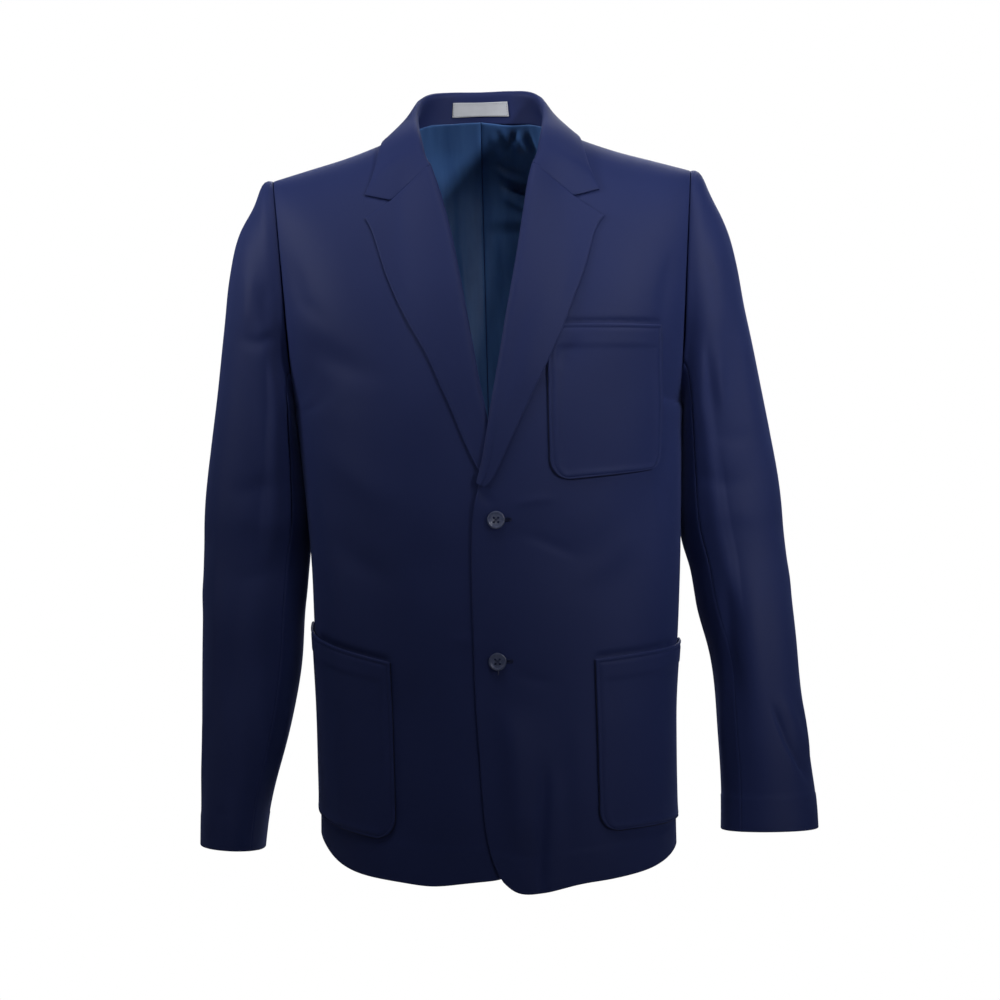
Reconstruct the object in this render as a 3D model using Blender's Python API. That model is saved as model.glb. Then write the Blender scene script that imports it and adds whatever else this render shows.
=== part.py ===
"""A school blazer, filled out as if worn, cut and sewn from separate cloth pieces.

Units are millimetres in the tables and metres in the scene. +Z is up, the front faces -Y and the
wearer's left is +X. The origin is the middle of the neck at the height of the shoulder points.
"""

import math
from collections import namedtuple

import bmesh
import bpy
import numpy as np
from mathutils import Matrix, Vector

MM = 0.001
LEFT, RIGHT = 1, -1  # the wearer's side, as the sign of x

# Cloth walls and the gaps between them
PANEL_WALL = 1.8
LAPEL_WALL = 1.6
COLLAR_WALL = 1.8
POCKET_WALL = 1.6
LINING_WALL = 1.0
LABEL_WALL = 1.0
SEAM_GAP = 0.4
LAYER_GAP = 0.4

# The body's level sections: half widths, and depths before and behind the side line
Section = namedtuple("Section", "z half_left half_right front_depth back_depth")
SECTIONS = (
    Section(-760, 173, 173, 116, 106),
    Section(-700, 172, 173, 117, 105),
    Section(-640, 172, 172, 118, 103),
    Section(-567, 173, 172, 119, 97),
    Section(-484, 179, 174, 121, 89),
    Section(-416, 183.2, 175.2, 124, 86),
    Section(-342, 186, 180, 128, 89),
    Section(-263, 189, 188, 131, 97),
    Section(-210, 198, 197, 131, 102),
    Section(-160, 207, 206, 130, 105),
    Section(-100, 214, 214, 126, 104),
    Section(0, 216, 216, 123, 99),
    Section(60, 216, 216, 122, 97),
)
SQUARENESS = 2.5  # exponent of the sections' superellipse

# The shoulder line from the neck outwards, and the radii that round the cloth off below it
Shoulder = namedtuple("Shoulder", "x z ridge_y front_round back_round")
SHOULDER = (
    Shoulder(0, 47.0, 8, 300, 100),
    Shoulder(40, 39.5, 8, 300, 100),
    Shoulder(60, 26.5, 8, 300, 100),
    Shoulder(70, 16.5, 8, 296, 100),
    Shoulder(80, 7.0, 8, 285, 99),
    Shoulder(98, -1.5, 7, 256, 98),
    Shoulder(134, -14.8, 5, 200, 97),
    Shoulder(164, -23.6, 3, 158, 96),
    Shoulder(190, -31.2, 1, 125, 95),
    Shoulder(204, -35.4, 0, 110, 95),
    Shoulder(216, -40.0, 0, 105, 95),
)
NECK_POINT_X = 78.0
SHOULDER_TIP_X = 204.0

# The armhole is one leaning loop in front of and behind the side line
ARMHOLE_TOP = (204.0, -35.4)
ARMHOLE_FOOT = (188.5, -263.0)
ARMHOLE_DEPTH = 58.0
ARMHOLE_BOW = 3.0
RING_SQUARENESS = 2.2

SIDE_SEAM_BACK_TOP = 9.0  # how far behind the side line the side seam runs, at the armhole and the hem
SIDE_SEAM_BACK_HEM = 18.0

# The fronts' free edge from the hem's corner up: edge, roll line, then neckline
EdgePoint = namedtuple("EdgePoint", "x z")
FRONT_EDGE = {
    LEFT: (
        EdgePoint(3, -713), EdgePoint(-4, -699.5), EdgePoint(-9.5, -680), EdgePoint(-13.5, -649),
        EdgePoint(-16, -600), EdgePoint(-18.5, -545), EdgePoint(-19, -495), EdgePoint(-19.4, -450),
        EdgePoint(-19, -410), EdgePoint(-17.6, -377), EdgePoint(-15, -356), EdgePoint(-10.9, -339.5),
        EdgePoint(-3.7, -312.5), EdgePoint(0.3, -290), EdgePoint(3.5, -270), EdgePoint(9.3, -243),
        EdgePoint(15, -215), EdgePoint(20.5, -186), EdgePoint(26.2, -158), EdgePoint(31.8, -130),
        EdgePoint(37, -102), EdgePoint(41.2, -76), EdgePoint(45.5, -51), EdgePoint(50.5, -32),
        EdgePoint(58.5, -18), EdgePoint(67, -5.5), EdgePoint(73.5, 2.5), EdgePoint(77, 6.9),
        EdgePoint(78, 8.6),
    ),
    RIGHT: (
        EdgePoint(-14, -705), EdgePoint(-19, -694), EdgePoint(-22, -676), EdgePoint(-23.5, -646),
        EdgePoint(-24, -598), EdgePoint(-24, -545), EdgePoint(-24, -495), EdgePoint(-24, -450),
        EdgePoint(-24, -410), EdgePoint(-22.5, -379), EdgePoint(-18, -360), EdgePoint(-12, -344),
        EdgePoint(-3.5, -312.5), EdgePoint(0.2, -293), EdgePoint(3.2, -272), EdgePoint(8.8, -243),
        EdgePoint(13.2, -215), EdgePoint(17.8, -186), EdgePoint(22.3, -158), EdgePoint(27, -130),
        EdgePoint(32, -102), EdgePoint(38, -76), EdgePoint(43.5, -51), EdgePoint(50, -32),
        EdgePoint(58.5, -18), EdgePoint(67, -5.5), EdgePoint(73.5, 2.5), EdgePoint(77, 6.9),
        EdgePoint(78, 8.6),
    ),
}
GORGE_ROW = 23  # the row where the roll line meets the gorge seam
# The fronts' outer edge, row for row: heights down the side seam, then angles round the armhole
SIDE_ROW_HEIGHTS = {
    LEFT: (-687, -674, -657, -630, -588, -540, -492, -448, -409, -376, -353, -332, -302, -282, -265),
    RIGHT: (-668, -658, -645, -622, -584, -538, -492, -448, -409, -376, -353, -332, -302, -282, -265),
}
ARMHOLE_ROW_ANGLES = (168, 152, 136, 119, 102, 85, 68, 52, 38, 26, 16, 8.5, 3.5, 0)
FRONT_COLUMNS = (0, 0.03, 0.1, 0.19, 0.29, 0.39, 0.49, 0.59, 0.69, 0.79, 0.88, 0.95, 1)

# Heights of the hem across the front, from the corner to the side
HEM = {
    LEFT: ((3, -713), (12, -721), (28, -725.5), (47, -723.5), (75, -718), (100, -715), (129, -711),
           (150, -706), (166, -697), (174, -689), (180, -687)),
    RIGHT: ((-14, -705), (0, -711), (19, -713), (38, -714.5), (64, -716), (95, -712), (126, -706),
            (150, -697), (166, -682), (174, -670), (180, -668)),
}
HEM_FADE_ROWS = 5

# How far each front stands off the body's form where they overlap
Overlap = namedtuple("Overlap", "z top under")
OVERLAP = (
    Overlap(-740, 1.6, 1.5),
    Overlap(-400, 1.6, 1.5),
    Overlap(-345, 3.4, 2.9),
    Overlap(-285, 3.4, 2.9),
    Overlap(-240, 1.6, 1.2),
    Overlap(-190, 0.3, 0.2),
    Overlap(-100, 0, 0),
)
OVERLAP_MIDDLE_X = 4.0
OVERLAP_FLAT = 34.0
OVERLAP_FADE = 70.0

# Soft folds in the body's panels, each a trough (or a ridge, where it is proud) between two points
Fold = namedtuple("Fold", "x0 z0 x1 z1 width proud")
FRONT_FOLDS = {
    LEFT: (
        Fold(47, -540, 53, -700, 16, -3.2),
        Fold(30, -560, 32, -705, 14, 1.8),
        Fold(178, -300, 120, -420, 26, -3.5),
        Fold(60, -395, 120, -440, 20, -2.0),
        Fold(110, -560, 104, -700, 22, 2.2),
    ),
    RIGHT: (
        Fold(176, -240, 116, -400, 30, -4.2),
        Fold(150, -270, 90, -430, 24, 2.4),
        Fold(40, -400, 110, -445, 20, -2.2),
        Fold(66, -560, 74, -700, 22, -2.6),
        Fold(140, -520, 132, -690, 24, 2.0),
    ),
}
BACK_FOLDS = {
    LEFT: (
        Fold(150, -110, 120, -260, 28, 3.0),
        Fold(60, -420, 150, -380, 24, -3.2),
        Fold(40, -470, 130, -440, 22, 2.0),
        Fold(95, -520, 105, -680, 26, -3.0),
    ),
    RIGHT: (
        Fold(152, -100, 126, -250, 26, 2.6),
        Fold(50, -400, 150, -370, 26, -3.6),
        Fold(48, -455, 140, -420, 22, 2.2),
        Fold(80, -540, 92, -690, 26, -2.6),
    ),
}

FOLD_FADE = (0.84, 0.96)  # shares of the half width between which folds die out

# The backs' rows: height at the centre-back seam
CENTRE_BACK_HEIGHTS = (-697, -686, -669, -640, -594, -542, -492, -446, -404, -370, -344, -318, -291, -266,
                       -243, -220, -197, -173, -148, -123, -98, -74, -52, -32, -15, -2, 8, 15.5, 20.5)
BACK_HEM_SAG = 5.0
BACK_NECK_Y = 59.0  # how far behind the ridge the neckline reaches at the centre
BACK_COLUMNS = (0, 0.07, 0.14, 0.21, 0.28, 0.35, 0.42, 0.54, 0.66, 0.78, 0.9, 1)
NECKLINE_COLUMN = 6  # the back's column that ends at the neck point

# Lapel: its free edge from the tip down to the break, on the front's rows
LAPEL_EDGE = {
    LEFT: ((116, -85), (110, -92), (101.5, -115), (94, -139), (84, -163), (73.3, -188.5), (61, -215),
           (48, -241), (34.5, -268), (22, -293), (12, -314), (4.5, -328.5), (-1, -335.5), (-5.5, -339.5)),
    RIGHT: ((112, -81.5), (107.5, -90), (100, -113), (92.5, -138), (82.5, -163), (70, -188), (57, -212),
            (44.5, -242), (32.5, -271), (23, -296), (13, -318), (4.5, -332), (-1, -338.5), (-6, -343.5)),
}
LAPEL_ROLL = {
    LEFT: ((50.5, -32.5), (47, -45), (42.8, -67), (38.3, -93), (33.3, -121), (27, -153), (20.8, -184),
           (14.8, -215.5), (8.8, -245.5), (3.5, -272), (-1, -297), (-5.2, -318), (-8.4, -330), (-10.2, -337)),
    RIGHT: ((50, -32.5), (46, -45), (39.8, -67), (33.6, -93), (28.3, -121), (23, -153), (18.2, -184),
            (13.2, -215.5), (8.3, -245.5), (3.2, -272), (-0.6, -297), (-5.6, -320), (-9, -333), (-11.4, -341.5)),
}
NOTCH = (86.4, -64.0)
# The rolled edge in profile: how far past the front's edge, and how far off its middle
RollPoint = namedtuple("RollPoint", "past off")
ROLL_PROFILE = (
    RollPoint(1.45, -1.2),
    RollPoint(2.15, 0.0),
    RollPoint(2.2, 1.3),
    RollPoint(1.2, 2.45),
    RollPoint(-0.6, 3.15),
    RollPoint(-4.0, 3.5),
)
LAPEL_SPREAD = (0.2, 0.38, 0.56, 0.78, 1.0)
NOTCH_COLUMN = 2  # the place in LAPEL_SPREAD and COLLAR_FALL where the notch's corner is
LAPEL_OFF_ROLL = 3.3
LAPEL_OFF_EDGE = 2.7
POCKET_LIFT = 2.3
POCKET_LIFT_Z = (-150.0, -184.0, -232.0, -268.0)

# Collar stations from centre back round to the front: place on the neckline (0 centre back, 1 neck
# point, 2 gorge), the fold in space, the free edge in plan, and the fold's radius
CollarStation = namedtuple("CollarStation", "neckline fold_x fold_y fold_z edge_x edge_y fold_radius")
COLLAR = (
    CollarStation(0.0, 0, 61, 54.8, 0, 87, 3.2),
    CollarStation(0.225, 25, 60, 55.2, 27, 85, 3.2),
    CollarStation(0.443, 45, 51, 53.4, 51, 76, 3.2),
    CollarStation(0.642, 57.0, 38, 46.8, 70, 59, 3.2),
    CollarStation(0.823, 61.2, 21, 37.5, 83, 38, 3.2),
    CollarStation(1.0, 62.2, 4, 27.5, 90.6, 16, 3.2),
    CollarStation(1.2, 61.4, -12, 18.2, 94.6, -6, 3.1),
    CollarStation(1.4, 59.8, -30, 8.0, 98, -28, 3.0),
    CollarStation(1.6, 57.4, -46.5, -3.5, 101.5, -47, 2.8),
    CollarStation(1.8, 54.6, -61.5, -17.5, 106, -59, 2.5),
)
COLLAR_TIP = (112.3, -57.6)
COLLAR_FALL = (0.2, 0.4, 0.62, 0.82, 1.0)
# The collar's end on the gorge in profile, from the stand round to the fall
GORGE_PROFILE = (
    RollPoint(1.45, -1.2),
    RollPoint(1.95, -0.5),
    RollPoint(2.2, 0.3),
    RollPoint(2.2, 1.2),
    RollPoint(1.7, 2.1),
    RollPoint(0.6, 2.8),
    RollPoint(-1.5, 3.1),
)
STAND_TO_HOLE = 2.0  # how far inside the neckline the stand starts
FALL_BULGE = 2.0
COLLAR_CLEARANCE = 2.7
COLLAR_ROWS_PER_STATION = 2

# Sleeves, from the armhole down: the outline's outer and inner points, and the depth
Ring = namedtuple("Ring", "out_x out_z in_x in_z mid_y half_depth")
SLEEVE = {
    LEFT: (
        Ring(205, -35.1, 191.6, -263, 0, 58.3),
        Ring(210.5, -36.0, 191.8, -266, 1, 60),
        Ring(219.5, -52, 192.1, -270, 2, 62.5),
        Ring(231.5, -79, 192.3, -277, 3, 64.5),
        Ring(241.5, -110, 191.3, -286, 5, 66),
        Ring(249.5, -152, 190.3, -299, 8, 66.5),
        Ring(258.5, -198, 189.4, -318, 12, 66),
        Ring(267, -245, 188.4, -342, 15, 65),
        Ring(276, -295, 187.4, -368, 17, 63),
        Ring(284, -348, 189, -396, 18, 61),
        Ring(288.5, -402, 197.8, -428, 16, 59),
        Ring(292, -452, 201.5, -462, 11, 57.5),
        Ring(295.5, -500, 210.5, -500, 5, 56),
        Ring(298, -545, 215.6, -541, -2, 54),
        Ring(302.8, -583, 217, -580, -9, 50.5),
        Ring(306.8, -619, 218.2, -618, -16, 46.5),
        Ring(308.3, -650, 218, -650, -22, 43),
        Ring(309, -678, 216.8, -677, -28, 41),
    ),
    RIGHT: (
        Ring(205, -35.1, 191.6, -263, 0, 58.3),
        Ring(211, -35.2, 191.8, -266, 1, 60),
        Ring(221, -54, 191.8, -270, 2, 62.5),
        Ring(234.5, -79, 191.2, -277, 3, 64.5),
        Ring(243.8, -107, 190, -286, 5, 66),
        Ring(251.5, -148, 187.6, -299, 8, 66.5),
        Ring(258.5, -196, 185.2, -318, 12, 66),
        Ring(265.3, -246, 182.8, -342, 15, 65),
        Ring(272.8, -294, 180.7, -368, 17, 63),
        Ring(280, -350, 179.6, -396, 18, 61.5),
        Ring(282.8, -404, 182.6, -428, 16, 60),
        Ring(284.4, -456, 186.6, -462, 11, 59),
        Ring(285.6, -504, 189.5, -503, 5, 58),
        Ring(286.4, -545, 196.8, -545, -2, 57.5),
        Ring(287, -585, 206.6, -585, -9, 57),
        Ring(287.4, -622, 217.4, -622, -16, 56.5),
        Ring(288.2, -652, 224.5, -654, -22, 56),
        Ring(288.6, -678, 228.4, -683, -28, 56),
    ),
}
FRONT_SLEEVE_SEAM = 128.0  # angles round the sleeve from its outer line, towards the front
BACK_SLEEVE_SEAM = -112.0
TOP_SLEEVE_COLUMNS = 11
UNDER_SLEEVE_COLUMNS = 6
# Creases round a sleeve: ring, angle where it is deepest, its spread both ways, and its height
Crease = namedtuple("Crease", "ring angle ring_spread angle_spread slant proud")
CREASES = {
    LEFT: (
        Crease(6.0, 62, 2.2, 20, 0, -3.0),
        Crease(6.5, 30, 2.6, 20, 0, 1.8),
        Crease(10.4, 75, 0.55, 60, 12, -3.4),
        Crease(11.6, 80, 0.5, 55, -14, 2.4),
        Crease(12.6, 100, 0.5, 50, 10, -2.8),
        Crease(15.0, 20, 0.7, 34, 16, -2.6),
        Crease(9.0, -95, 0.6, 50, 10, -3.0),
        Crease(11.0, -100, 0.6, 50, -8, 2.6),
    ),
    RIGHT: (
        Crease(6.0, 70, 2.0, 22, 0, -2.6),
        Crease(9.8, 80, 0.6, 60, -12, -3.2),
        Crease(11.2, 78, 0.5, 55, 14, 2.6),
        Crease(12.4, 95, 0.5, 50, -10, -3.0),
        Crease(14.6, 60, 0.7, 40, 12, -2.4),
        Crease(9.4, -100, 0.6, 50, -10, -3.0),
        Crease(11.4, -92, 0.6, 50, 8, 2.4),
    ),
}

# Patch pockets on the left chest and at both hips
CHEST_POCKET_TOP_LEFT = (57.0, -188.0)
CHEST_POCKET_TOP_RIGHT = (165.5, -189.0)
CHEST_POCKET_FOOT = (-334.0, -327.0)  # at the edge towards the lapel, and at the outer edge
CHEST_POCKET_CORNER = 19.0
LOW_POCKET_INNER_X = {LEFT: 95.0, RIGHT: 98.0}
LOW_POCKET_TOP = {LEFT: (-505.0, -491.0), RIGHT: (-503.0, -466.0)}  # at the inner edge and at the side
LOW_POCKET_FOOT = {LEFT: (-668.0, -664.0), RIGHT: (-670.0, -646.0)}
LOW_POCKET_CORNER = 18.0
LOW_POCKET_PAST_SIDE = 9.0

# Buttons: a rimmed disc with four holes
BUTTON_DIAMETER = 18.0
BUTTON_THICKNESS = 3.2
BUTTON_RIM = 2.2
BUTTON_DISH = 0.8
BUTTON_HOLE = 1.7
BUTTON_HOLE_SPACING = 3.4
BUTTON_SIDES = 20
BUTTONS = {"button_top": (5.2, -370.3), "button_low": (3.1, -504.2)}

LABEL_WIDTH = 56.0
LABEL_SPAN = (0.28, 0.8)  # the label's foot and top as shares of the stand's height
# The lining stops short of the back's edges, as shares of the back's own rows and columns
LINING_BELOW_NECK = 0.6
LINING_FROM_SIDE = 0.3
LINING_FROM_CENTRE = 0.03
LINING_ABOVE_HEM = 0.6

# Colours are linear RGB
NAVY = (0.026, 0.033, 0.095)
LINING_BLUE = (0.012, 0.030, 0.062)
LABEL_GREY = (0.62, 0.63, 0.66)
BUTTON_NAVY = (0.030, 0.036, 0.070)


class Curve:
    """A smooth line through the points of a table, which never swings past them."""

    def __init__(self, at, values):
        order = np.argsort(at)
        self.at = np.asarray(at, float)[order]
        self.values = np.asarray(values, float)[order]
        rises = np.diff(self.values) / np.diff(self.at)
        before, after = rises[:-1], rises[1:]
        level = before * after <= 0
        middle = np.where(level, 0, 2 * before * after / np.where(level, 1, before + after))
        self.slopes = np.concatenate([rises[:1], middle, rises[-1:]])

    def __call__(self, where):
        where = float(np.clip(where, self.at[0], self.at[-1]))
        i = int(np.clip(np.searchsorted(self.at, where) - 1, 0, len(self.at) - 2))
        span = self.at[i + 1] - self.at[i]
        t = (where - self.at[i]) / span
        rise = self.values[i + 1] - self.values[i]
        start, end = self.slopes[i] * span, self.slopes[i + 1] * span
        return self.values[i] + t * (start + t * (3 * rise - 2 * start - end + t * (start + end - 2 * rise)))


def column(table, name):
    return [getattr(row, name) for row in table]


def curve_of(table, name, along):
    return Curve(column(table, along), column(table, name))


HALF_WIDTH = {LEFT: curve_of(SECTIONS, "half_left", "z"), RIGHT: curve_of(SECTIONS, "half_right", "z")}
FRONT_DEPTH = curve_of(SECTIONS, "front_depth", "z")
BACK_DEPTH = curve_of(SECTIONS, "back_depth", "z")
SHOULDER_Z = curve_of(SHOULDER, "z", "x")
RIDGE_Y = curve_of(SHOULDER, "ridge_y", "x")
FRONT_ROUND = curve_of(SHOULDER, "front_round", "x")
BACK_ROUND = curve_of(SHOULDER, "back_round", "x")
TOP_OVERLAP = curve_of(OVERLAP, "top", "z")
UNDER_OVERLAP = curve_of(OVERLAP, "under", "z")


def smoothstep(low, high, value):
    t = min(max((value - low) / (high - low), 0.0), 1.0)
    return t * t * (3 - 2 * t)


def mix(a, b, share):
    return a + (b - a) * share


def unit(vector):
    return vector / max(np.linalg.norm(vector), 1e-9)


# --- The body's form -------------------------------------------------------------------------

SECTION_ANGLES = np.linspace(0, math.pi, 121)
SECTION_ACROSS = np.abs(np.sin(SECTION_ANGLES)) ** (2 / SQUARENESS)
SECTION_ALONG = np.sign(np.cos(SECTION_ANGLES)) * np.abs(np.cos(SECTION_ANGLES)) ** (2 / SQUARENESS)


def section(z, side):
    """Girth from centre front, half width and depth round the body's section at this height."""
    x = HALF_WIDTH[side](z) * SECTION_ACROSS
    y = -np.where(SECTION_ALONG > 0, FRONT_DEPTH(z), BACK_DEPTH(z)) * SECTION_ALONG
    girth = np.concatenate([[0], np.cumsum(np.hypot(np.diff(x), np.diff(y)))])
    return girth, x, y


def girth_at(x, z, side, back=False):
    """The girth of the form's point that is this far out from the middle."""
    girth, across, _ = section(z, side)
    half = len(girth) // 2
    if back:
        return float(np.interp(x, across[half:][::-1], girth[half:][::-1]))
    return math.copysign(float(np.interp(abs(x), across[: half + 1], girth[: half + 1])), x)


def side_girth(z, side):
    """The girth of the side seam, which runs a little behind the side line."""
    girth, _, _ = section(z, side)
    share = smoothstep(-690, ARMHOLE_FOOT[1], z)
    return girth[len(girth) // 2] + mix(SIDE_SEAM_BACK_HEM, SIDE_SEAM_BACK_TOP, share)


def level_point(girth, z, side):
    """The form's x and y at a girth and a height, before the shoulder rounds it off."""
    girths, across, depth = section(z, side)
    x = math.copysign(float(np.interp(abs(girth), girths, across)), girth)
    return x, float(np.interp(abs(girth), girths, depth))


def rounding(x, y):
    return FRONT_ROUND(abs(x)) if y < RIDGE_Y(abs(x)) else BACK_ROUND(abs(x))


def point_below_shoulder(girth, drop, z, side):
    """The form's point at a girth, this far below the shoulder line."""
    x, y = level_point(girth, z, side)
    ridge, radius = RIDGE_Y(abs(x)), rounding(x, y)
    share = math.sqrt(max(0.0, 1 - (1 - min(drop / radius, 1)) ** 2))
    return np.array([side * x, ridge + (y - ridge) * share, SHOULDER_Z(abs(x)) - drop])


def fold_height(folds, x, z, side):
    """How far the soft folds move the cloth out at a place on its panel; they die out at the sides."""
    moved = 0.0
    for fold in folds:
        run = np.array([fold.x1 - fold.x0, fold.z1 - fold.z0])
        rel = np.array([x - fold.x0, z - fold.z0])
        t = float(rel @ run / (run @ run))
        away = float(np.linalg.norm(rel - np.clip(t, 0, 1) * run)) / fold.width
        moved += fold.proud * math.exp(-away * away)
    return moved * (1 - smoothstep(*FOLD_FADE, x / HALF_WIDTH[side](z)))


def form(girth, z, side):
    """A point of the form and the direction out of it."""
    x, y = level_point(girth, z, side)
    radius = rounding(x, y)
    drop = max(SHOULDER_Z(abs(x)) - z, 0.0)
    if drop < radius:
        turn = math.acos(1 - drop / radius)
        drops = [radius * (1 - math.cos(max(turn + step, 0))) for step in (-0.03, 0.03)]
    else:
        drops = [drop - 2, drop + 2]
    round_body = point_below_shoulder(girth + 1.5, drop, z, side) - point_below_shoulder(girth - 1.5, drop, z, side)
    heights = [z + drop - new for new in drops]
    down = (point_below_shoulder(girth, drops[1], heights[1], side)
            - point_below_shoulder(girth, drops[0], heights[0], side))
    return point_below_shoulder(girth, drop, z, side), unit(np.cross(round_body, down)) * -side


def front_place(girth, z, side):
    """A point of a front's middle surface, with its folds and its overlap, and the way out of it."""
    point, out = form(girth, z, side)
    x = side * point[0]
    fade = 1 - smoothstep(OVERLAP_FLAT, OVERLAP_FADE, abs(point[0] - OVERLAP_MIDDLE_X))
    stand = TOP_OVERLAP(z) if side == LEFT else -UNDER_OVERLAP(z)
    return point + out * (stand * fade + fold_height(FRONT_FOLDS[side], x, z, side)), out


def front_at(x, z, side):
    return front_place(girth_at(x, z, side), z, side)


def back_place(girth, z, side):
    point, out = form(girth, z, side)
    return point + out * fold_height(BACK_FOLDS[side], side * point[0], z, side), out


# --- Walls from grids of places ---------------------------------------------------------------


def material(name, colour, roughness, sheen=0.0):
    made = bpy.data.materials.new(name)
    made.use_nodes = True
    shader = made.node_tree.nodes["Principled BSDF"]
    shader.inputs["Base Color"].default_value = (*colour, 1)
    shader.inputs["Roughness"].default_value = roughness
    shader.inputs["Metallic"].default_value = 0.0
    shader.inputs["Sheen Weight"].default_value = sheen
    made.diffuse_color = (*colour, 1)
    return made


def add_object(name, bm, colour, roughness, sheen=0.0):
    mesh = bpy.data.meshes.new(name)
    bm.to_mesh(mesh)
    bm.free()
    mesh.materials.append(material(name, colour, roughness, sheen))
    mesh.shade_smooth()
    mesh.set_sharp_from_angle(angle=math.radians(40))
    obj = bpy.data.objects.new(name, mesh)
    bpy.context.scene.collection.objects.link(obj)
    return obj


def add_wall(name, points, outs, thickness, colour, roughness=0.75, sheen=0.3):
    """A closed wall of even thickness on a grid of points with their outward directions."""
    rows, columns = points.shape[:2]
    bm = bmesh.new()
    grid = bmesh.ops.create_grid(bm, x_segments=columns - 1, y_segments=rows - 1, size=0.5)
    bmesh.ops.triangulate(bm, faces=bm.faces[:], quad_method="FIXED")
    face = {}
    for vert in grid["verts"]:
        place = round((vert.co.y + 0.5) * (rows - 1)), round((vert.co.x + 0.5) * (columns - 1))
        face[vert] = place
        vert.co = Vector((points[place] + outs[place] * thickness / 2) * MM)
    inner = bmesh.ops.extrude_face_region(bm, geom=bm.faces[:], use_keep_orig=True)["geom"]
    moved = [item for item in inner if isinstance(item, bmesh.types.BMVert)]
    kept = {tuple(vert.co): place for vert, place in face.items()}
    for vert in moved:
        place = kept[tuple(vert.co)]
        vert.co = Vector((points[place] - outs[place] * thickness / 2) * MM)
    bmesh.ops.recalc_face_normals(bm, faces=bm.faces[:])
    return add_object(name, bm, colour, roughness, sheen)


def grid_outs(points, outward):
    """Directions out of a grid of points, turned so that the middle one agrees with outward."""
    across = np.gradient(points, axis=1)
    along = np.gradient(points, axis=0)
    outs = np.cross(across, along)
    outs /= np.maximum(np.linalg.norm(outs, axis=2, keepdims=True), 1e-9)
    middle = outs[outs.shape[0] // 2, outs.shape[1] // 2]
    return outs if middle @ np.asarray(outward) > 0 else -outs


def places(rows, columns, place):
    """Arrays of points and outward directions from a function of row and column."""
    found = [[place(i, j) for j in range(columns)] for i in range(rows)]
    return (np.array([[point for point, _ in row] for row in found]),
            np.array([[out for _, out in row] for row in found]))


# --- Body panels -------------------------------------------------------------------------------


def ring_point(out_x, out_z, in_x, in_z, mid_y, half_depth, angle, bow=0.0):
    """A point of a leaning superellipse, from its outer point (0 degrees) towards the front (90)."""
    c, s = math.cos(math.radians(angle)), math.sin(math.radians(angle))
    along = math.copysign(abs(c) ** (2 / RING_SQUARENESS), c)
    across = math.copysign(abs(s) ** (2 / RING_SQUARENESS), s)
    return np.array([
        (out_x + in_x) / 2 + along * (out_x - in_x) / 2 - bow * abs(across),
        mid_y - across * half_depth,
        (out_z + in_z) / 2 + along * (out_z - in_z) / 2,
    ])


def armhole(angle, side):
    point = ring_point(*ARMHOLE_TOP, *ARMHOLE_FOOT, 0, ARMHOLE_DEPTH, angle, ARMHOLE_BOW)
    return point * (side, 1, 1)


def outer_edge(row, side, back):
    """Girth and height of a body panel's outer end, and the exact point where it is on the armhole."""
    heights = SIDE_ROW_HEIGHTS[side]
    if row < len(heights):
        z = heights[row]
        return side_girth(z, side), z, None
    angle = ARMHOLE_ROW_ANGLES[row - len(heights)]
    point = armhole(-angle if back else angle, side)
    return girth_at(abs(point[0]), point[2], side, back), point[2], point


ROW_COUNT = len(SIDE_ROW_HEIGHTS[LEFT]) + len(ARMHOLE_ROW_ANGLES)
TOP_ROW = ROW_COUNT - 1
BOW_START_ROW = 17


def shoulder_follow(row):
    """How closely a row follows the line of the shoulder."""
    return smoothstep(BOW_START_ROW, TOP_ROW - 3, row)


def shoulder_place(x, side, gap):
    """A place on the shoulder line, moved off the seam by half its gap, and the way out."""
    slope = (SHOULDER_Z(x + 1) - SHOULDER_Z(x - 1)) / 2
    return np.array([side * x, RIDGE_Y(x) + gap, SHOULDER_Z(x)]), unit(np.array([-slope * side, 0, 1]))


def armhole_pull(share):
    return smoothstep(0.5, 1.0, share)


def front_grid(side):
    hem = Curve([x for x, _ in HEM[side]], [z for _, z in HEM[side]])

    def place(row, col):
        edge = FRONT_EDGE[side][row]
        share = FRONT_COLUMNS[col]
        outer_girth, outer_z, exact = outer_edge(row, side, back=False)
        if row < len(SIDE_ROW_HEIGHTS[side]):
            outer_girth -= SEAM_GAP / 2
        inner_girth = girth_at(edge.x, edge.z, side)
        girth = mix(inner_girth, outer_girth, share)
        z = mix(edge.z, outer_z, share)
        x, _ = level_point(girth, z, side)
        if row < HEM_FADE_ROWS:
            straight = mix(FRONT_EDGE[side][0].z, SIDE_ROW_HEIGHTS[side][0], share)
            z += (hem(x) - straight) * (1 - row / HEM_FADE_ROWS) ** 1.5
        inner_x = abs(edge.x)
        outer_x = level_point(outer_girth, outer_z, side)[0]
        line = SHOULDER_Z(x) - mix(SHOULDER_Z(inner_x), SHOULDER_Z(outer_x), share)
        if row == TOP_ROW:
            return shoulder_place(mix(edge.x, ARMHOLE_TOP[0], share), side, -SEAM_GAP / 2)
        point, out = front_place(girth, z + shoulder_follow(row) * line, side)
        if exact is not None:
            point = point + (exact - front_place(outer_girth, outer_z, side)[0]) * armhole_pull(share)
        return point, out

    return places(ROW_COUNT, len(FRONT_COLUMNS), place)


def neckline_point(share, side):
    """The back neckline from centre back to the neck point, in x and height."""
    turn = share * math.pi / 2
    x = NECK_POINT_X * math.sin(turn)
    y = RIDGE_Y(x) + BACK_NECK_Y * math.cos(turn) ** 0.9
    depth = BACK_DEPTH(0) * (1 - (x / HALF_WIDTH[side](0)) ** SQUARENESS) ** (1 / SQUARENESS)
    reach = (y - RIDGE_Y(x)) / (depth - RIDGE_Y(x))
    return x, SHOULDER_Z(x) - BACK_ROUND(x) * (1 - math.sqrt(1 - reach * reach))


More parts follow.
